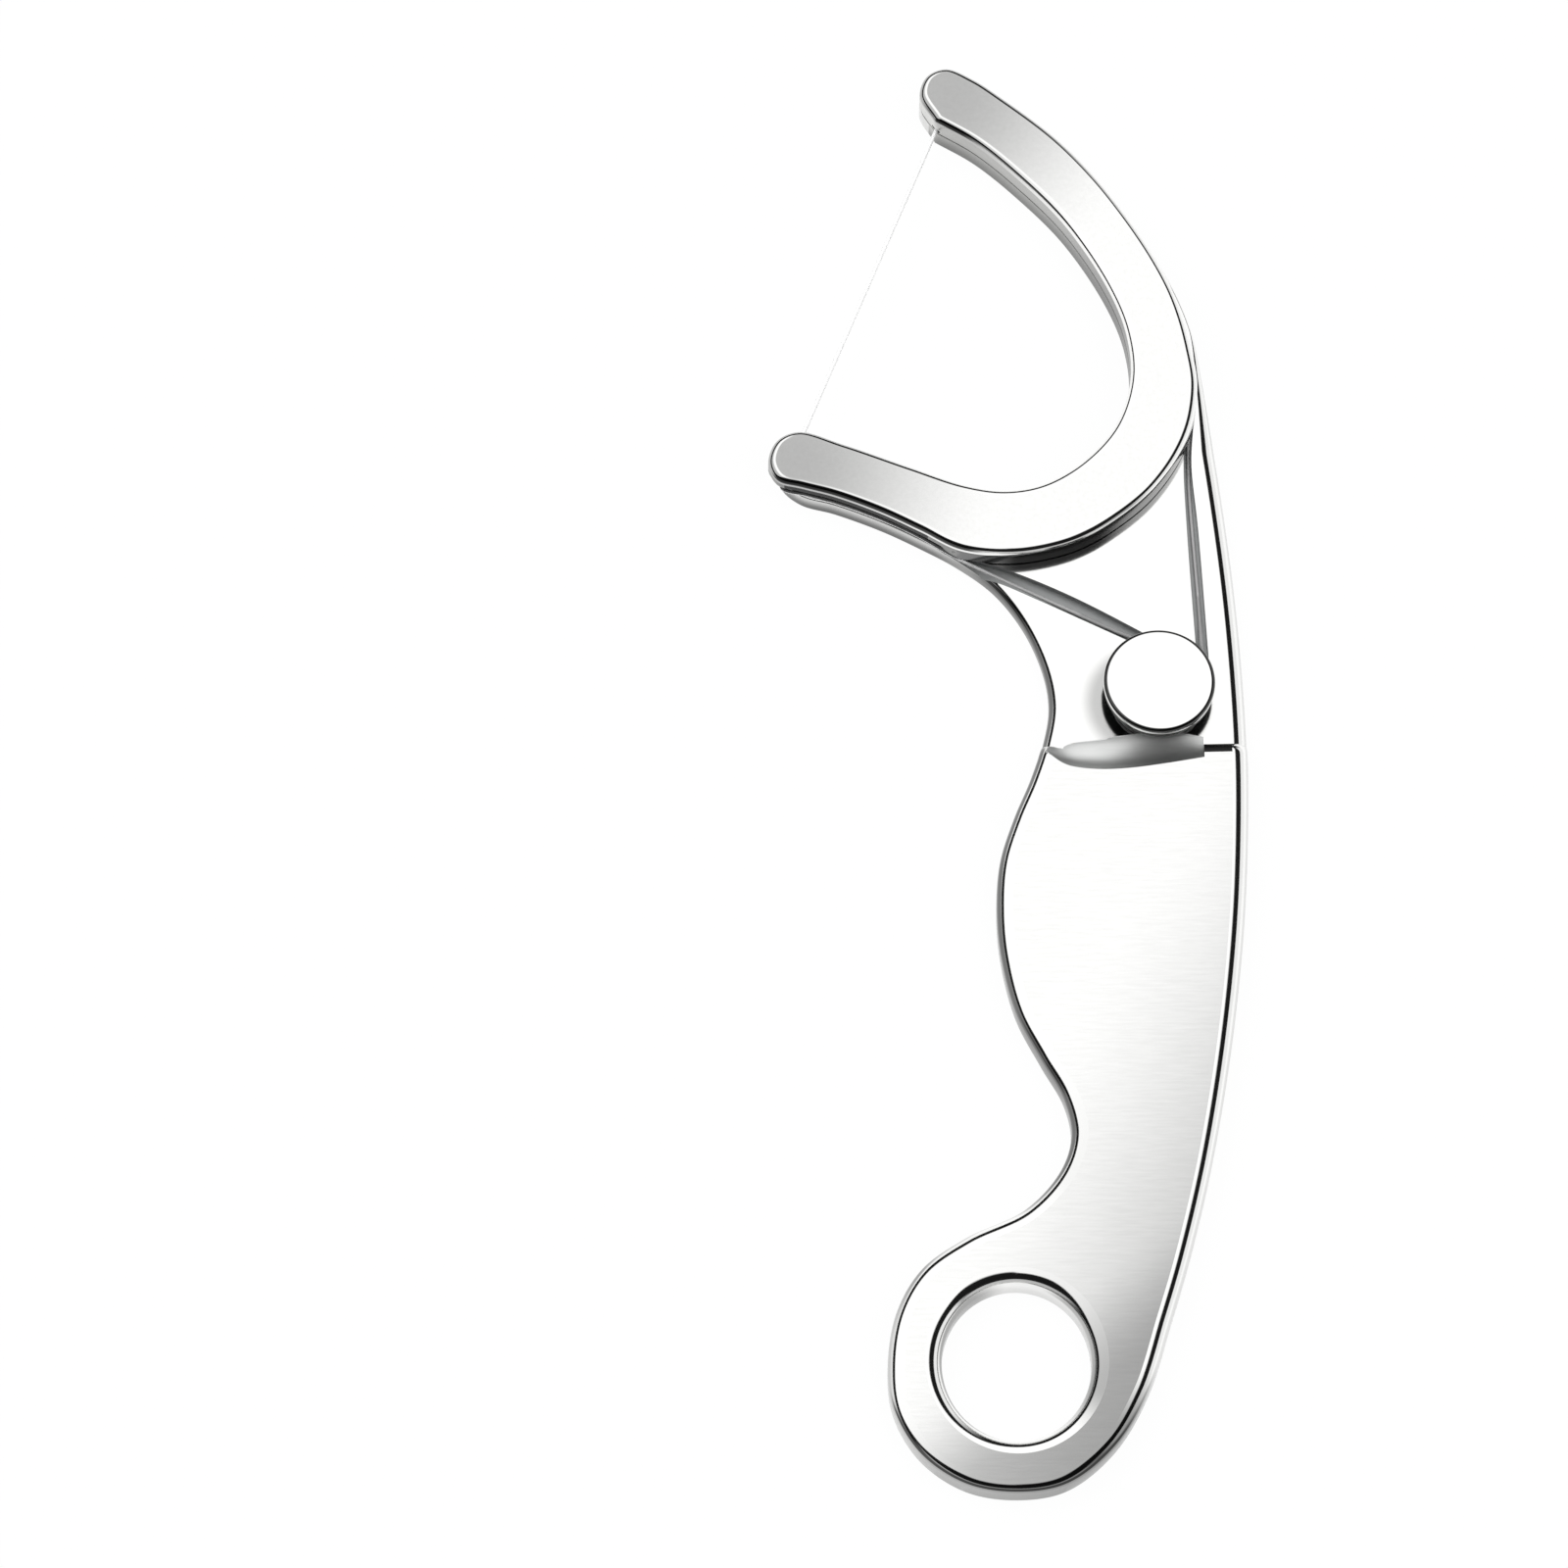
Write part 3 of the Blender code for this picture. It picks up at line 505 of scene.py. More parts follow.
def plate_body(outline):
    """The plate with its two face levels, rounded edges and rounded step."""
    levels = [STEP_Y + STEP_LONG * math.sin(math.pi / 2 * i / ROUND_STEPS) for i in range(ROUND_STEPS + 1)]
    outline = with_levels(outline, levels)
    count = len(outline)
    heights = [plate_height(point.y) for point in outline]
    rounds = [plate_round(point, normal) for point, normal in zip(outline, side_normals(outline))]
    rings = []
    for depth, drop in reversed(quarter(BACK_ROUND, ROUND_STEPS // 2)):
        rings.append([(point.x, point.y, drop) for point in inset(outline, [depth] * count)])
    for depth, drop in quarter(1.0, ROUND_STEPS):
        moved = inset(outline, [depth * radius for radius in rounds])
        rings.append([(point.x, point.y, height - drop * radius)
                      for point, height, radius in zip(moved, heights, rounds)])
    vertices, faces = walls(rings)
    top = len(vertices) - count
    crossings = [[i for i, point in enumerate(outline) if abs(point.y - level) < TINY / 10]
                 for level in levels]
    faces.append(tuple(top + i for i in range(crossings[0][0], crossings[0][1] + 1)))
    for (left, right), (next_left, next_right) in zip(crossings, crossings[1:]):
        faces.append((top + left, top + right, top + next_right, top + next_left))
    around = [*range(crossings[-1][1], count), *range(crossings[-1][0] + 1)]
    faces.append(tuple(top + i for i in around))
    return link("plate", vertices, faces)


plate_guides = plan(PLATE_ARM + NECK_LEFT + GRIP_LEFT + RING + GRIP_RIGHT + NECK_RIGHT + PLATE_BACK
                    + UPPER_TIP + TIP_CORNER)
plate = plate_body(closed_outline(plate_guides, plan(TIP_CORNER + THROAT + PLATE_TIP + PLATE_ARM[:1])))
print("plate outline vertices", len(plate.data.vertices))

# %% [markdown]
# Four things are cut into the plate: the finger hole with its broad round, the thumb scoop across the step,
# and two channels that lead the floss from the fork to the knob. The left channel's floor slopes down from
# its start. Each cut has its own tool, as in a workshop, and a Boolean takes it away.

# %% Cuts in the plate
RING_HOLE_WIDE = 10.7 * MM
RING_HOLE_LONG = 11.5 * MM
RING_HOLE_ROUND = 1.2 * MM
HOLE_SEGMENTS = 160
CHANNEL_DEEP = 0.6 * MM
CHANNEL_START_DEEP = 0.06 * MM
CHANNEL_SLOPE = 0.14
CUT_PAST = 1.0 * MM
CHANNEL_LEFT = [(-6.2, 64.5, 0.6), (-3.3, 62.75, 0.9), (-0.2, 61.55, 1.25), (4.6, 59.3, 1.4),
                (12.684, 54.968, 0.9)]
CHANNEL_RIGHT = [(14.5, 78.0, 0.5), (14.35, 76.2, 0.55), (14.02, 73.5, 0.6), (13.85, 70.7, 0.6),
                 (14.1, 65.4, 0.85), (14.745, 52.0, 0.9)]
# Each section of the scoop is x, its centre past the step and above the neck, and its radius
SCOOP_SECTIONS = [(2.7, 0.45, 0.85, 0.3), (3.3, 0.4, 1.05, 0.85), (4.4, 0.38, 1.63, 1.7),
                  (6.6, 0.44, 2.15, 2.3), (8.8, 0.63, 2.17, 2.4), (11.7, 0.92, 1.97, 2.2),
                  (14.5, 1.08, 1.75, 1.8)]
SCOOP_SEGMENTS = 96


def ring_tool():
    """A tool for the finger hole, flared where the hole's edges are rounded."""
    radius = RING_HOLE_WIDE / 2
    longer = (RING_HOLE_LONG - RING_HOLE_WIDE) / 2
    levels = [(BACK_ROUND, -CUT_PAST), *reversed(quarter(BACK_ROUND, ROUND_STEPS // 2))]
    levels += [(depth, GRIP_THICK - drop) for depth, drop in quarter(RING_HOLE_ROUND, ROUND_STEPS)]
    levels += [(RING_HOLE_ROUND, GRIP_THICK + CUT_PAST)]
    return stack("ring_tool", [[((radius + wider) * x, (radius + longer + wider) * y, z)
                                for x, y in circle(HOLE_SEGMENTS)] for wider, z in levels])


def scoop_tool():
    """A tool for the thumb scoop: round sections that swell and then stop square."""
    return stack("scoop_tool", [[(x, STEP_Y + past + radius * y, NECK_THICK + above + radius * z)
                                 for y, z in circle(SCOOP_SEGMENTS)]
                                for x, past, above, radius in line_through(SCOOP_SECTIONS)])


def channel_tool(name, middle, start_deep=CHANNEL_DEEP):
    """A tool along a line of (x, y, width), whose floor slopes down from its start to the full depth."""
    run = line_through(middle, OUTLINE_SPACING * 2)
    left = []
    right = []
    floor = []
    travelled = 0.0
    for i, point in enumerate(run):
        ahead = (run[min(i + 1, len(run) - 1)] - run[max(i - 1, 0)]).to_2d().normalized()
        side = Vector((ahead.y, -ahead.x)) * (point.z / 2)
        right.append(point.to_2d() + side)
        left.append(point.to_2d() - side)
        travelled += (point - run[max(i - 1, 0)]).to_2d().length
        floor.append(NECK_THICK - min(CHANNEL_DEEP, start_deep + CHANNEL_SLOPE * travelled))
    ring = right + left[::-1]
    lower = [(p.x, p.y, z) for p, z in zip(ring, floor + floor[::-1])]
    return stack(name, [lower, [(p.x, p.y, NECK_THICK + CUT_PAST) for p in ring]])


cut(plate, [ring_tool(), scoop_tool(), channel_tool("left_channel", CHANNEL_LEFT, CHANNEL_START_DEEP),
            channel_tool("right_channel", CHANNEL_RIGHT)])
print("plate faces", len(plate.data.polygons))

# %% [markdown]
# The cover is a second plate, shaped like the C, that lies on the fork. Its face edge is rounded, and a
# groove runs round its outer foot, so that the floss can pass from tip to tip and back to the knob.

# %% Fork cover
GROOVE_DEEP = 0.46 * MM
GROOVE_HIGH = 0.8 * MM
GROOVE_SLOPE = 0.1 * MM
SLOT_WIDE = 0.76 * MM
SLOT_HIGH = 0.4 * MM
SLOT_LOWER = [(-14.88, 74.0), (-17.38, 67.7)]
SLOT_UPPER = [(-5.5, 97.7), (-2.95, 104.1)]
COVER_FOOT = NECK_THICK + SEAM


def cover_outline():
    """The cover's outline, and the share of the groove's depth at each of its points."""
    scale = 0.1 * MM
    grooved = COVER_ARM + COVER_BACK + UPPER_TIP[:1] + COVER_TIP[-1:]

    def marked(points):
        return [Vector((x * MM, y * MM, scale if (x, y) in grooved else 0.0)) for x, y in points]

    outer = marked(COVER_ARM + CRESCENT + COVER_BACK + UPPER_TIP + TIP_CORNER)
    throat = marked(TIP_CORNER + THROAT + COVER_TIP + COVER_ARM[:1])
    outline = closed_outline(outer, throat)
    return [point.to_2d() for point in outline], [between(point.z, 0.0, scale) for point in outline]


def cover_body(outline, shares):
    """The cover with its rounded face edge and the groove round its outer foot."""
    grooved = inset(outline, [share * GROOVE_DEEP for share in shares])
    rings = [[(point.x, point.y, COVER_FOOT) for point in grooved],
             [(point.x, point.y, COVER_FOOT + GROOVE_HIGH - GROOVE_SLOPE) for point in grooved],
             [(point.x, point.y, COVER_FOOT + GROOVE_HIGH) for point in outline]]
    for depth, drop in quarter(COVER_ROUND, ROUND_STEPS):
        rings.append([(point.x, point.y, COVER_FOOT + COVER_THICK - drop)
                      for point in inset(outline, [depth] * len(outline))])
    return stack("cover", rings)


def slot_tool(name, ends):
    """A tool for a straight slot in the cover's foot."""
    start, end = plan(ends)
    ahead = (end - start).normalized()
    side = Vector((ahead.y, -ahead.x)) * (SLOT_WIDE / 2)
    ring = [start + side, end + side, end - side, start - side]
    levels = (COVER_FOOT - CUT_PAST, COVER_FOOT + SLOT_HIGH)
    return stack(name, [[(p.x, p.y, z) for p in ring] for z in levels])


cover = cover_body(*cover_outline())
cut(cover, [slot_tool("lower_slot", SLOT_LOWER), slot_tool("upper_slot", SLOT_UPPER)])
print("cover faces", len(cover.data.polygons))

# %% [markdown]
# The knob and its washer are turned on a lathe. A small Geometry Nodes tree does the same: it takes the
# points of a profile, copies them round the axis on a grid, and closes the seam.


# %% Lathe tree
class Nodes(Tree):
    """A Geometry Nodes tree with named inputs."""

    def __init__(self, name):
        self.group = bpy.data.node_groups.new(name, "GeometryNodeTree")
        for side in ("INPUT", "OUTPUT"):
            self.group.interface.new_socket("Geometry", in_out=side, socket_type="NodeSocketGeometry")
        super().__init__(self.group)
        self.entry = self.nodes.new("NodeGroupInput")
        self.given = Signal(self, self.entry.outputs["Geometry"])

    def input(self, name, kind, value=None):
        """A named input of the tree, with its value unless the modifier sets another."""
        socket = self.group.interface.new_socket(name, in_out="INPUT", socket_type="NodeSocket" + kind)
        if value is not None:
            socket.default_value = value
        return Signal(self, self.entry.outputs[name])

    def finish(self, geometry, material):
        """Ends the tree with plain geometry in one material."""
        whole = self.node("GeometryNodeRealizeInstances", [geometry])
        coated = self.node("GeometryNodeSetMaterial", {"Geometry": whole, "Material": material})
        leave = self.nodes.new("NodeGroupOutput")
        self.links.new(coated.socket, leave.inputs[0])


def run_tree(item, group, **values):
    """Puts a tree on an object with its inputs, then turns the result into a plain mesh."""
    modifier = item.modifiers.new(group.name, "NODES")
    modifier.node_group = group
    for socket in group.interface.items_tree:
        key = socket.name.lower().replace(" ", "_")
        if socket.in_out == "INPUT" and key in values:
            modifier[socket.identifier] = values[key]
    name = item.name
    made = add(name + "_made", modified(item))
    bpy.data.objects.remove(item, do_unlink=True)
    made.name = name
    return made


LATHE_SEGMENTS = 160

lathe = Nodes("lathe")
segments = lathe.input("Segments", "Int", LATHE_SEGMENTS)
profile_points = lathe.input("Profile Points", "Int")
finish = lathe.input("Finish", "Material")
sheet = lathe.node("GeometryNodeMeshGrid", {"Vertices X": segments + 1, "Vertices Y": profile_points})
index = lathe.node("GeometryNodeInputIndex")
column = (index / profile_points).alone("FLOOR")
row = index - column * profile_points
place_on = lathe.node("GeometryNodeInputPosition")
point = lathe.node("GeometryNodeSampleIndex", {"Geometry": lathe.given, "Value": place_on, "Index": row},
                   data_type="FLOAT_VECTOR")
reach, _, level = lathe.split(point)
angle = column / segments * (2 * math.pi)
spun = lathe.node("ShaderNodeCombineXYZ", [reach * angle.alone("COSINE"), reach * angle.alone("SINE"), level])
moved = lathe.node("GeometryNodeSetPosition", {"Geometry": sheet, "Position": spun})
closed = lathe.node("GeometryNodeMergeByDistance", {"Geometry": moved, "Distance": TINY})
lathe.finish(closed, finish)


def turned(name, profile, centre, material):
    """A turned piece: its (radius, z) profile goes up the outer side."""
    item = link(name, [(radius, 0.0, z) for radius, z in profile], [])
    made = run_tree(item, lathe.group, profile_points=len(profile), finish=material)
    for vertex in made.data.vertices:
        vertex.co.x += centre.x
        vertex.co.y += centre.y
    return made


# %% [markdown]
# Brushed steel is covered with fine straight scratches. Stretched noise gives the scratches: it changes
# quickly along the handle and slowly across it. The noise moves the colour and the roughness a little and
# bumps the surface, so that reflections smear across the grain.

# %% Steel finishes
CLOUD_SHADE = 0.04
CLOUD_ROUGHNESS = 0.03
CLOUD_SCALE = 90.0
GRAIN_ROUGHNESS = 0.25
FINE_GRAIN = (140.0, 7000.0, 7000.0)


def steel(name, base, roughness, grain=0.1, grain_scale=FINE_GRAIN, tone=None, bump=0.0):
    """A steel with a stretched grain; tone gives a factor for its colour from its place and its normal, to
    paint light and shade.
    """
    made, tree, surface = new_material(name)
    surface.inputs["Metallic"].default_value = 1.0
    place = tree.coordinates("Object")
    stretched = tree.node("ShaderNodeMapping", {"Vector": place, "Scale": grain_scale})
    streaks = tree.node("ShaderNodeTexNoise",
                        {"Vector": stretched, "Scale": 1.0, "Detail": 3.0, "Roughness": 0.6})
    cloud = tree.node("ShaderNodeTexNoise", {"Vector": place, "Scale": CLOUD_SCALE, "Detail": 2.0}) - 0.5
    shade = 1 + grain * (streaks - 0.5) + CLOUD_SHADE * cloud
    if tone:
        shade = shade * tone(tree.split(place), tree.split(tree.coordinates("Normal")))
    tree.feed(surface.inputs["Base Color"], tree.colour(*[shade * share for share in base]))
    tree.feed(surface.inputs["Roughness"],
              roughness + GRAIN_ROUGHNESS * grain * (streaks - 0.5) + CLOUD_ROUGHNESS * cloud)
    if bump:
        raised = tree.node("ShaderNodeBump", {"Strength": 1.0, "Distance": bump, "Height": streaks})
        tree.feed(surface.inputs["Normal"], raised)
    return made


def from_place(place, middle):
    """Distance in plan from the middle of a shade."""
    across = place[0] - middle[0]
    along = place[1] - middle[1]
    return (across * across + along * along) ** 0.5


def plate_painted_shade(place, normal):
    """Painted shade: the plate is brightest at its upper grip and greys towards the right side of the ring.
    """
    x, y, _ = place
    grip = 1 - 0.46 * (x - 0.5 * y).fade(14.0, 38.0)
    return grip * (1 - 0.38 * (0.8 * x - y).fade(45.0, 54.0))


def edge_painted_reflection(place, normal):
    """Painted reflections on the rounded edges: dark where they lean left or to the ring end, and grey with
    the face where they are low. The finger hole has a painted light lip, and the short edge beside the lower
    arm is painted like the arm."""
    x, y, _ = place
    across, along, up = normal
    hole = from_place(place, HOME).fade(7.3, 7.1)
    wall = up.smooth(0.6, 0.5)
    # satin is painted shade: the walls are darker, most inside the finger hole
    satin = 1 - 0.2 * wall * (1 - hole) - 0.6 * wall * hole * across.smooth(0.1, 0.6)
    left = (0 - across).smooth(0.3, 0.7) * up.smooth(0.75, 0.65) * (1 - hole * up.smooth(0.35, 0.15))
    left = left * y.fade(20.0, 17.0) * (0.3 + 0.7 * y.fade(-46.0, -38.0))
    ring_corner = (0 - along - 0.5 * across).smooth(0.5, 0.7) * y.fade(-38.0, -46.0)
    near_side = (0 - along).smooth(0.25, 0.5).high_of(ring_corner)
    near_side = near_side * up.smooth(0.72, 0.62) * up.smooth(0.35, 0.45) * (1 - hole)
    sideways = (across * across + along * along + 0.0001) ** 0.5
    low = ((0 - across - along) / sideways).smooth(-0.1, 0.3)
    painted_lip_highlight = hole * (1 - 0.9 * (x + y - HOME.y).fade(-1.5, 4.0))
    low = low.high_of((0 - y).fade(47.0, 52.0)) * (1 - painted_lip_highlight)
    tone = satin * (1 - 0.8 * left) * (1 - 0.85 * near_side) * (1 - (1 - plate_painted_shade(place, normal)) * low)
    by_arm = x.fade(-2.5, -5.5) * y.fade(15.0, 16.0) * y.fade(21.0, 20.0)
    return tone * (1 - by_arm) + 0.8 * arm_painted_shade(place, normal) * by_arm


def arm_painted_shade(place, normal):
    """Painted shade: the wall of the lower arm is light at its top and dark at the table."""
    return 0.15 + 0.8 * place[2].fade(0.4, 2.0)


def scoop_painted_shade(place, normal):
    """Painted shade: the scoop is darker along its lower rim."""
    return 1 - 0.3 * normal[1].smooth(0.2, 0.6)


TIP_SHADES = [(-4.5 * MM, 54.5 * MM), (-16.5 * MM, 23.2 * MM)]


def cover_painted_shade(place, normal):
    """Painted shade: the cover greys towards both of its tips."""
    upper, lower = [from_place(place, tip).fade(17.0, 1.0) for tip in TIP_SHADES]
    return 1 - 0.52 * upper.high_of(lower)


def cover_edge_painted_light(place, normal):
    """As grey as the cover's face with its painted shade, with a painted bright line on the left and a
    painted dark one along the arm.
    """
    across, along, up = normal
    bright = (0 - across).smooth(0.03, 0.12) * up.smooth(0.9, 0.96)
    dark = (0 - along).smooth(0.3, 0.6) * up.smooth(0.85, 0.75) * up.smooth(0.3, 0.4)
    dark = dark * place[0].fade(-1.0, -3.0)
    grey_share = (1 - cover_painted_shade(place, normal)) * (1 - bright)
    return (1 - grey_share) * (1 - 0.9 * dark)


def wall_painted_shade(place, normal):
    """Painted shade: the walls in the fork's throat darken to the table and towards the bend; the tip's end
    is painted lighter.
    """
    x, y, z = place
    height_share = 0.35 + 0.65 * z.fade(0.0, 2.6)
    upper_tip = x.fade(-4.6, -5.2) * y.fade(47.0, 49.0)
    return height_share * (1 - 0.5 * y.fade(46.0, 34.0)) * (1 + 0.5 * upper_tip)


KNOB_SHADE = (KNOB_X - 0.8 * MM, 4.3 * MM)


def neck_painted_shade(place, normal):
    """The neck has a painted soft shade to the left of the knob."""
    return 1 - 0.42 * from_place(place, KNOB_SHADE).fade(5.2, 3.8)


def rim_painted_reflection(place, normal):
    """Painted reflection: the rounded rim of the knob is dark between its face and its wall."""
    return 1 - 0.92 * normal[2].smooth(0.99, 0.965) * normal[2].smooth(0.3, 0.5)


STEEL = (0.93, 0.93, 0.92)
BRIGHT_STEEL = (0.95, 0.95, 0.94)
PLAIN_STEEL = (0.55, 0.55, 0.56)
BLACK = (0.03, 0.03, 0.03)
face_steel = steel("brushed_face", STEEL, 0.22, grain=0.18, grain_scale=(450.0, 4200.0, 4200.0),
                   tone=plate_painted_shade, bump=0.002 * MM)
neck_steel = steel("polished_neck", BRIGHT_STEEL, 0.1, grain=0.02, tone=neck_painted_shade)
edge_steel = steel("polished_edge", STEEL, 0.09, grain=0.03, tone=edge_painted_reflection)
cover_edge_steel = steel("polished_cover_edge", STEEL, 0.07, grain=0.02, tone=cover_edge_painted_light)
# The lower arm's wall is satin, with painted shade towards the table
shaded_arm_steel = steel("satin_arm_wall", (0.74, 0.74, 0.73), 0.2, grain=0.05, tone=arm_painted_shade)
# The cover's groove is black: painted shade under the cover's overhang
groove_shade_steel = steel("dark_groove", BLACK, 0.4)
# The walls of the throat are satin, with painted shade
shaded_wall_steel = steel("satin_wall", (0.47, 0.47, 0.46), 0.25, grain=0.08, grain_scale=(300.0, 300.0, 6000.0),
                   tone=wall_painted_shade)
# The channels are milled and rough; their dark colour also paints the shade down in the channels
milled_shaded_steel = steel("milled_channel", (0.42, 0.43, 0.43), 0.5, grain=0.3, grain_scale=(900.0, 4000.0, 900.0))
scoop_steel = steel("satin_scoop", (0.95, 0.96, 0.95), 0.48, grain=0.15,
                    grain_scale=(400.0, 5000.0, 5000.0), tone=scoop_painted_shade)
# The step line is black: a painted shadow at the foot of the step
step_shadow_steel = steel("dark_line", BLACK, 0.4)
cover_face_steel = steel("cover_face", STEEL, 0.22, grain=0.12, grain_scale=(2600.0, 2600.0, 2600.0),
                         tone=cover_painted_shade, bump=0.001 * MM)
# The crescent wall under the cover is dark: painted shade
crescent_shade_steel = steel("dark_wall", (0.15, 0.15, 0.15), 0.15, grain=0.05)
knob_face_steel = steel("knob_steel", BRIGHT_STEEL, 0.08, grain=0.02, tone=rim_painted_reflection)
# The knob's underside is black: painted shade under its flange
underside_shade_steel = steel("ground_underside", BLACK, 0.35)
washer_finish = steel("washer_steel", (0.05, 0.05, 0.05), 0.3)

# %% [markdown]
# On the real holder each surface has had its own treatment: the grip's face is brushed, the neck and the
# rims are polished, the scoop is satin and the channels are left as milled. Several faces also get painted
# shade or painted reflections in their colour. The polish could be blended with painted masks, but the
# surfaces differ in height and direction, so the place and the normal of each face tell them apart.

# %% Finishes by face
SHARP_ANGLE = math.radians(35.0)
AREA_WEIGHT = 100
FLAT = 0.9999
SLOPING = 0.98
STEEP = 0.9
SQUARE = 0.05
UPRIGHT = 0.01
ARM_END = -3.5 * MM
TOLERANCE = 0.01 * MM
SCOOP_REACH = 0.08 * MM
THROAT_REACH = 0.8 * MM
ARM_REACH = 0.5 * MM
COVER_ARM_REACH = 0.6 * MM
CRESCENT_REACH = 0.3 * MM


def weigh(item):
    """Smooth shading in which the large flat faces keep their own direction."""
    item.data.shade_smooth()
    item.data.set_sharp_from_angle(angle=SHARP_ANGLE)
    modifier = item.modifiers.new("weigh", "WEIGHTED_NORMAL")
    modifier.mode = "FACE_AREA"
    modifier.weight = AREA_WEIGHT
    modifier.keep_sharp = True
    bake(item)


def finish_faces(item, materials, choose):
    """Gives every face the material that choose returns for its middle and its normal."""
    item.data.materials.clear()
    for material in materials:
        item.data.materials.append(material)
    for face in item.data.polygons:
        face.material_index = materials.index(choose(face.center, face.normal))
    weigh(item)


step_world = STEP_Y + HOME.y
throat_line = line_through(TIP_CORNER + THROAT)
arm_line = line_through(PLATE_TIP[-1:] + PLATE_ARM)
crescent_line = line_through(CRESCENT)
scoop_line = line_through(SCOOP_SECTIONS, OUTLINE_SPACING / 3)


def by_line(middle, line, reach):
    """Whether a place lies within reach of a line in plan."""
    place = Vector((middle.x, middle.y)) - HOME
    return min((place - point.to_2d()).length for point in line) < reach


def in_scoop(place):
    """Whether a place lies on the scoop's round surface."""
    x = place.x - HOME.x
    if not scoop_line[0].x < x < scoop_line[-1].x:
        return False
    near = min(scoop_line, key=lambda section: abs(section.x - x))
    past, above, radius = place.y - step_world - near[1], place.z - NECK_THICK - near[2], near[3]
    return abs(math.hypot(past, above) - radius) < SCOOP_REACH


def plate_finish(middle, normal):
    """The steel of one face of the plate: flat faces by their height, the others by where they lie."""
    if normal.z > FLAT:
        if middle.z > GRIP_THICK - TOLERANCE:
            return face_steel
        return neck_steel if middle.z > NECK_THICK - TOLERANCE else milled_shaded_steel
    if in_scoop(middle):
        return scoop_steel
    if normal.z > SLOPING and middle.z < NECK_THICK - 0.04 * MM:
        return milled_shaded_steel
    if step_world < middle.y < step_world + STEP_LONG and abs(normal.x) < SQUARE:
        return step_shadow_steel
    if middle.y > step_world + STEP_LONG and middle.z > NECK_THICK - CHANNEL_DEEP and abs(normal.z) < UPRIGHT:
        return milled_shaded_steel if middle.x > ARM_END else shaded_arm_steel
    if abs(normal.z) < STEEP:
        if middle.y > LEFT_FORK_Y + HOME.y and by_line(middle, throat_line, THROAT_REACH):
            return shaded_wall_steel
        if by_line(middle, arm_line, ARM_REACH):
            return shaded_arm_steel
    return edge_steel


def cover_finish(middle, normal):
    """The steel of one face of the cover: the face, its rounded edge, and three kinds of wall."""
    if normal.z > FLAT:
        return cover_face_steel
    in_groove = middle.z < COVER_FOOT + GROOVE_HIGH + TOLERANCE
    if abs(normal.z) > SQUARE and not in_groove:
        return cover_edge_steel
    if by_line(middle, crescent_line, CRESCENT_REACH):
        return crescent_shade_steel
    return groove_shade_steel if by_line(middle, arm_line, COVER_ARM_REACH) else shaded_wall_steel


finish_faces(plate, [face_steel, neck_steel, edge_steel, milled_shaded_steel, scoop_steel, step_shadow_steel, shaded_wall_steel,
                     shaded_arm_steel], plate_finish)
finish_faces(cover, [cover_face_steel, cover_edge_steel, shaded_wall_steel, crescent_shade_steel, groove_shade_steel],
             cover_finish)

# %% [markdown]
# The knob is a turned cap with a rim, and the washer under it keeps the wound floss down. The knob has a
# bore in its foot for the threaded insert. Both are given as profiles for the lathe tree, since a turned
# part is all in its profile.

# %% Knob and washer
KNOB_Y = 52.0 * MM
KNOB_CENTRE = Vector((KNOB_X, KNOB_Y)) + HOME
KNOB_RADIUS = 4.15 * MM
KNOB_FACE = NECK_THICK + 2.5 * MM
FLANGE_FOOT = KNOB_FACE - 0.6 * MM
FLANGE_CHAMFER = 0.1 * MM
FLANGE_ROUND = 0.35 * MM
FLANGE_STEPS = 8
BARREL_RADIUS = 3.1 * MM
BARREL_FOOT = NECK_THICK + 0.2 * MM
BORE_RADIUS = BARREL_RADIUS - 0.8 * MM
BORE_ROOF = KNOB_FACE - 0.5 * MM
WASHER_RADIUS = 4.1 * MM
WASHER_BORE = 3.2 * MM
WASHER_EDGE = 0.05 * MM
WASHER_TOP = FLANGE_FOOT - 0.1 * MM
WASHER_FOOT = WASHER_TOP - 0.35 * MM

knob_profile = [(0.0, BORE_ROOF), (BORE_RADIUS, BORE_ROOF), (BORE_RADIUS, BARREL_FOOT),
                (BARREL_RADIUS, BARREL_FOOT), (BARREL_RADIUS, FLANGE_FOOT),
                (KNOB_RADIUS - FLANGE_CHAMFER, FLANGE_FOOT), (KNOB_RADIUS, FLANGE_FOOT + FLANGE_CHAMFER)]
knob_profile += [(KNOB_RADIUS - depth, KNOB_FACE - drop)
                 for depth, drop in quarter(FLANGE_ROUND, FLANGE_STEPS)] + [(0.0, KNOB_FACE)]
knob = turned("knob_dressed", knob_profile, KNOB_CENTRE, knob_face_steel)
# The knob's underside gets the black painted shade
finish_faces(knob, [knob_face_steel, underside_shade_steel],
             lambda middle, normal: underside_shade_steel if middle.z < FLANGE_FOOT + TOLERANCE else knob_face_steel)

washer_profile = [(WASHER_BORE, WASHER_FOOT), (WASHER_RADIUS - WASHER_EDGE, WASHER_FOOT),
                  (WASHER_RADIUS, WASHER_FOOT + WASHER_EDGE), (WASHER_RADIUS, WASHER_TOP - WASHER_EDGE),
                  (WASHER_RADIUS - WASHER_EDGE, WASHER_TOP), (WASHER_BORE, WASHER_TOP),
                  (WASHER_BORE, WASHER_FOOT)]
washer = turned("washer_dressed", washer_profile, KNOB_CENTRE, washer_finish)
weigh(washer)
print("knob faces", len(knob.data.polygons), "washer faces", len(washer.data.polygons))

# %% [markdown]
# The floss is a twisted bundle of fine white filaments. It starts round the knob's barrel, runs in one
# channel to the fork, round the fork's foot to one tip, across to the other tip, and back round the fork to
# the knob. A lobed section that turns as it is drawn along that path gives the twist.

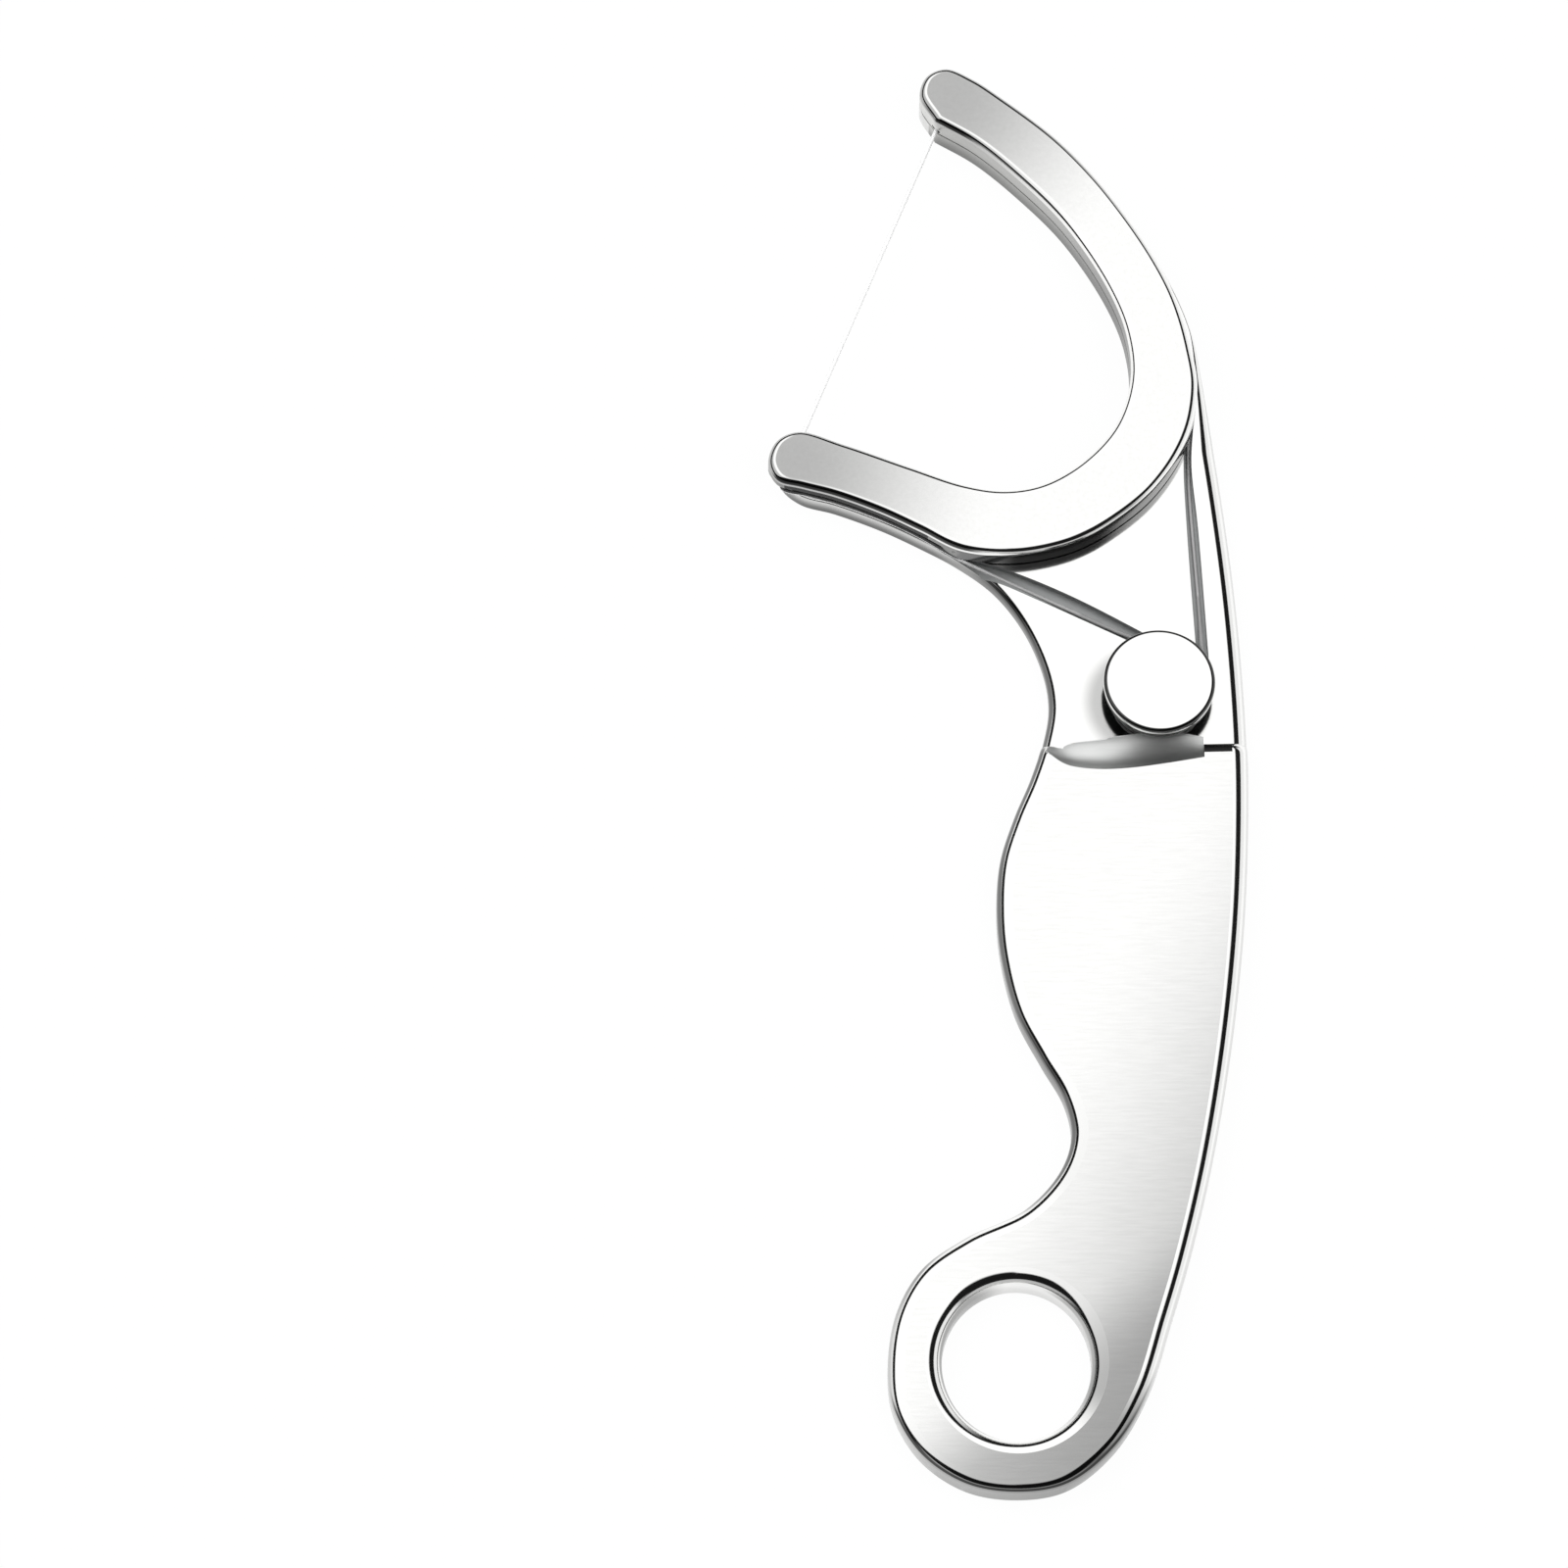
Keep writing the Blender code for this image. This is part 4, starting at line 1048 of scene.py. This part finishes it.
# %% Floss
FLOSS_RADIUS = 0.15 * MM
FLOSS_TO_BARREL = 0.12 * MM
WINDING_TURNS = 0.85
WINDING_STEPS = 24
WINDING_RISE = 0.12 * MM
LEFT_TURN_HIGH = 0.3 * MM
RIGHT_TURN_HIGH = 1.06 * MM
FLOSS_SPACING = 2.2 * MM
LOBES = 3
LOBE_DEPTH = 0.02
TWIST_LENGTH = 5.0 * MM
STRAND_STEP = 0.13 * MM
STRAND_SIDES = 18
FLOSS_ROUTE = [(10.0, 56.33, -0.18), (8.2, 57.23, -0.4), (4.0, 59.32, -0.43), (-0.6, 61.62, -0.43),
               (-2.8, 62.75, -0.38), (-4.6, 63.75, -0.14), (-6.25, 64.69, 0.13), (-9.2, 66.19, 0.17),
               (-12.72, 67.6, 0.17), (-15.2, 68.31, 0.17), (-16.1, 68.45, 0.17), (-16.5, 68.57, 0.17),
               (-16.74, 68.74, 0.17), (-16.82, 69.05, 0.17), (-16.66, 69.5, 0.17), (-15.52, 72.4, 0.17),
               (-12.5, 80.01, 0.17), (-8.6, 89.84, 0.17), (-4.9, 99.16, 0.17), (-3.75, 102.06, 0.17),
               (-3.5, 102.75, 0.17), (-3.33, 103.05, 0.17), (-3.1, 103.17, 0.17), (-2.8, 103.05, 0.17),
               (-2.1, 102.62, 0.17), (0.17, 100.93, 0.17), (4.15, 97.55, 0.17), (7.13, 94.18, 0.17),
               (9.42, 90.89, 0.17), (11.41, 87.51, 0.17), (12.75, 84.63, 0.17), (13.54, 82.15, 0.17),
               (14.09, 79.57, 0.17), (14.42, 77.2, 0.13), (14.28, 75.7, -0.08), (14.08, 74.0, -0.35),
               (13.93, 71.6, -0.43), (13.93, 69.0, -0.43), (14.12, 65.0, -0.43), (14.38, 60.5, -0.43),
               (14.5, 58.0, -0.35), (14.52, 56.2, 0.15), (14.52, 54.3, 0.82), (14.52, 53.2, 1)]


def tangent_angle(centre, radius, outside):
    """Angle at which a line from outside touches a circle, to go on clockwise round it."""
    away = outside - centre
    return math.atan2(away.y, away.x) - math.acos(min(1.0, radius / away.length))


def floss_points():
    """The floss from one free end on the barrel, along its route, to the other free end."""
    centre = Vector((KNOB_X, KNOB_Y))
    radius = BARREL_RADIUS + FLOSS_TO_BARREL + FLOSS_RADIUS
    route = [point + Vector((0.0, 0.0, NECK_THICK)) for point in plan(FLOSS_ROUTE)]
    steps = round(WINDING_STEPS * WINDING_TURNS)

    def turn(start_angle, high):
        points = []
        for i in range(steps + 1):
            angle = start_angle - 2 * math.pi * WINDING_TURNS * i / steps
            place_on = centre + Vector((math.cos(angle), math.sin(angle))) * radius
            points.append(Vector((place_on.x, place_on.y, NECK_THICK + high + WINDING_RISE * i / steps)))
        return points

    left = turn(tangent_angle(centre, radius, route[0].to_2d()), LEFT_TURN_HIGH)
    right = turn(tangent_angle(centre, radius, route[-1].to_2d()), RIGHT_TURN_HIGH)
    middle = smooth_run(route, FLOSS_SPACING, before=left[0], after=right[0])
    return left[::-1] + middle + right


ply = Nodes("twisted_strand")
strand_radius = ply.input("Radius", "Float", FLOSS_RADIUS)
lobes = ply.input("Lobes", "Int", LOBES)
lobe_depth = ply.input("Lobe Depth", "Float", LOBE_DEPTH)
turn_length = ply.input("Turn Length", "Float", TWIST_LENGTH)
step_length = ply.input("Step Length", "Float", STRAND_STEP)
fibre = ply.input("Finish", "Material")
even = ply.node("GeometryNodeResampleCurve", {"Curve": ply.given, "Length": step_length}, mode="LENGTH")
tilt = ply.node("GeometryNodeSplineParameter", (), "Length") / turn_length * (2 * math.pi)
twisted = ply.node("GeometryNodeSetCurveTilt", {"Curve": even, "Tilt": tilt})
ring_line = ply.node("GeometryNodeCurvePrimitiveCircle",
                     {"Resolution": STRAND_SIDES, "Radius": strand_radius})
around = ply.node("GeometryNodeSplineParameter", (), "Factor") * (2 * math.pi)
swell = 1 - lobe_depth * (0.5 - 0.5 * (around * lobes).alone("COSINE"))
here = ply.node("GeometryNodeInputPosition")
scaled = ply.node("ShaderNodeVectorMath", {"Vector": here, "Scale": swell}, operation="SCALE")
lobed = ply.node("GeometryNodeSetPosition", {"Geometry": ring_line, "Position": scaled})
drawn = ply.node("GeometryNodeCurveToMesh", {"Curve": twisted, "Profile Curve": lobed, "Fill Caps": True})
ply.finish(drawn, fibre)

floss_fibre, wax, fibre_surface = new_material("waxed_fibre")
fibre_place = wax.coordinates("Object")
wax_noise = wax.node("ShaderNodeTexNoise", {"Vector": fibre_place, "Scale": 2500.0, "Detail": 2.0})
# The strand is painted with shade down in its channels and near the knob, and on its upper side along the
# lower arm
fibre_x, fibre_y, fibre_z = wax.split(fibre_place)
sunk = fibre_z.smooth(NECK_THICK - 0.1 * MM, NECK_THICK - 0.35 * MM)
sunk = sunk.high_of(from_place((fibre_x, fibre_y), KNOB_CENTRE).fade(9.5, 8.5))
on_arm = fibre_y.fade(22.2, 21.8) * fibre_x.fade(-3.0, -4.0)
fibre_up = wax.split(wax.coordinates("Normal"))[2]
shade = (0.7 * sunk * (1 - on_arm)).high_of(0.9 * on_arm * fibre_up.smooth(0.1, 0.5))
light = (0.88 + 0.04 * wax_noise) * (1 - shade)
wax.feed(fibre_surface.inputs["Base Color"], wax.colour(light, light, light))
wax.feed(fibre_surface.inputs["Roughness"], 0.4 + 0.2 * wax_noise)

path_data = bpy.data.curves.new("floss_dressed", "CURVE")
path_data.dimensions = "3D"
points = floss_points()
line = path_data.splines.new("POLY")
line.points.add(len(points) - 1)
for target, point in zip(line.points, points):
    target.co = (point.x + HOME.x, point.y + HOME.y, point.z, 1.0)
floss = run_tree(add("floss_dressed", path_data), ply.group, finish=floss_fibre)
floss.data.shade_smooth()
length = sum((second - first).length for first, second in zip(points, points[1:]))
print("floss length in mm", round(length / MM, 1), "faces", len(floss.data.polygons))

# %% [markdown]
# The stud, the insert and the four pins are hidden when the holder is put together. They are shown as the
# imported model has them, so they only get finishes: plain steel, and brass for the insert.

# %% Finishes of the kept pieces
KEPT = {"clamp_stud": steel("stud_steel", PLAIN_STEEL, 0.35),
        "knob_insert": steel("insert_brass", (0.78, 0.6, 0.3), 0.3)}
pin_finish = steel("pin_steel", PLAIN_STEEL, 0.35)
for number in range(1, 5):
    KEPT["cover_pin_%d" % number] = pin_finish
for node, finish in KEPT.items():
    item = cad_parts[node]
    item.data.materials.clear()
    item.data.materials.append(finish)

# %% [markdown]
# Each new piece is tied to the body that it moves with. The plate, the cover and the floss stay with the
# handle, the washer rises when the knob is undone, and the knob turns on it. The imported pieces that they
# stand for are hidden.

# %% Bodies and hidden nodes
for piece, body, slot, node in ((plate, "handle", "plate_steel", "base_plate"),
                                (cover, "handle", "cover_steel", "fork_cover"),
                                (floss, "handle", "fibre", "floss"),
                                (washer, "washer", "washer_steel", "clamp_washer"),
                                (knob, "knob", "knob_steel", "knob")):
    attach(piece, body)
    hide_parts(node)
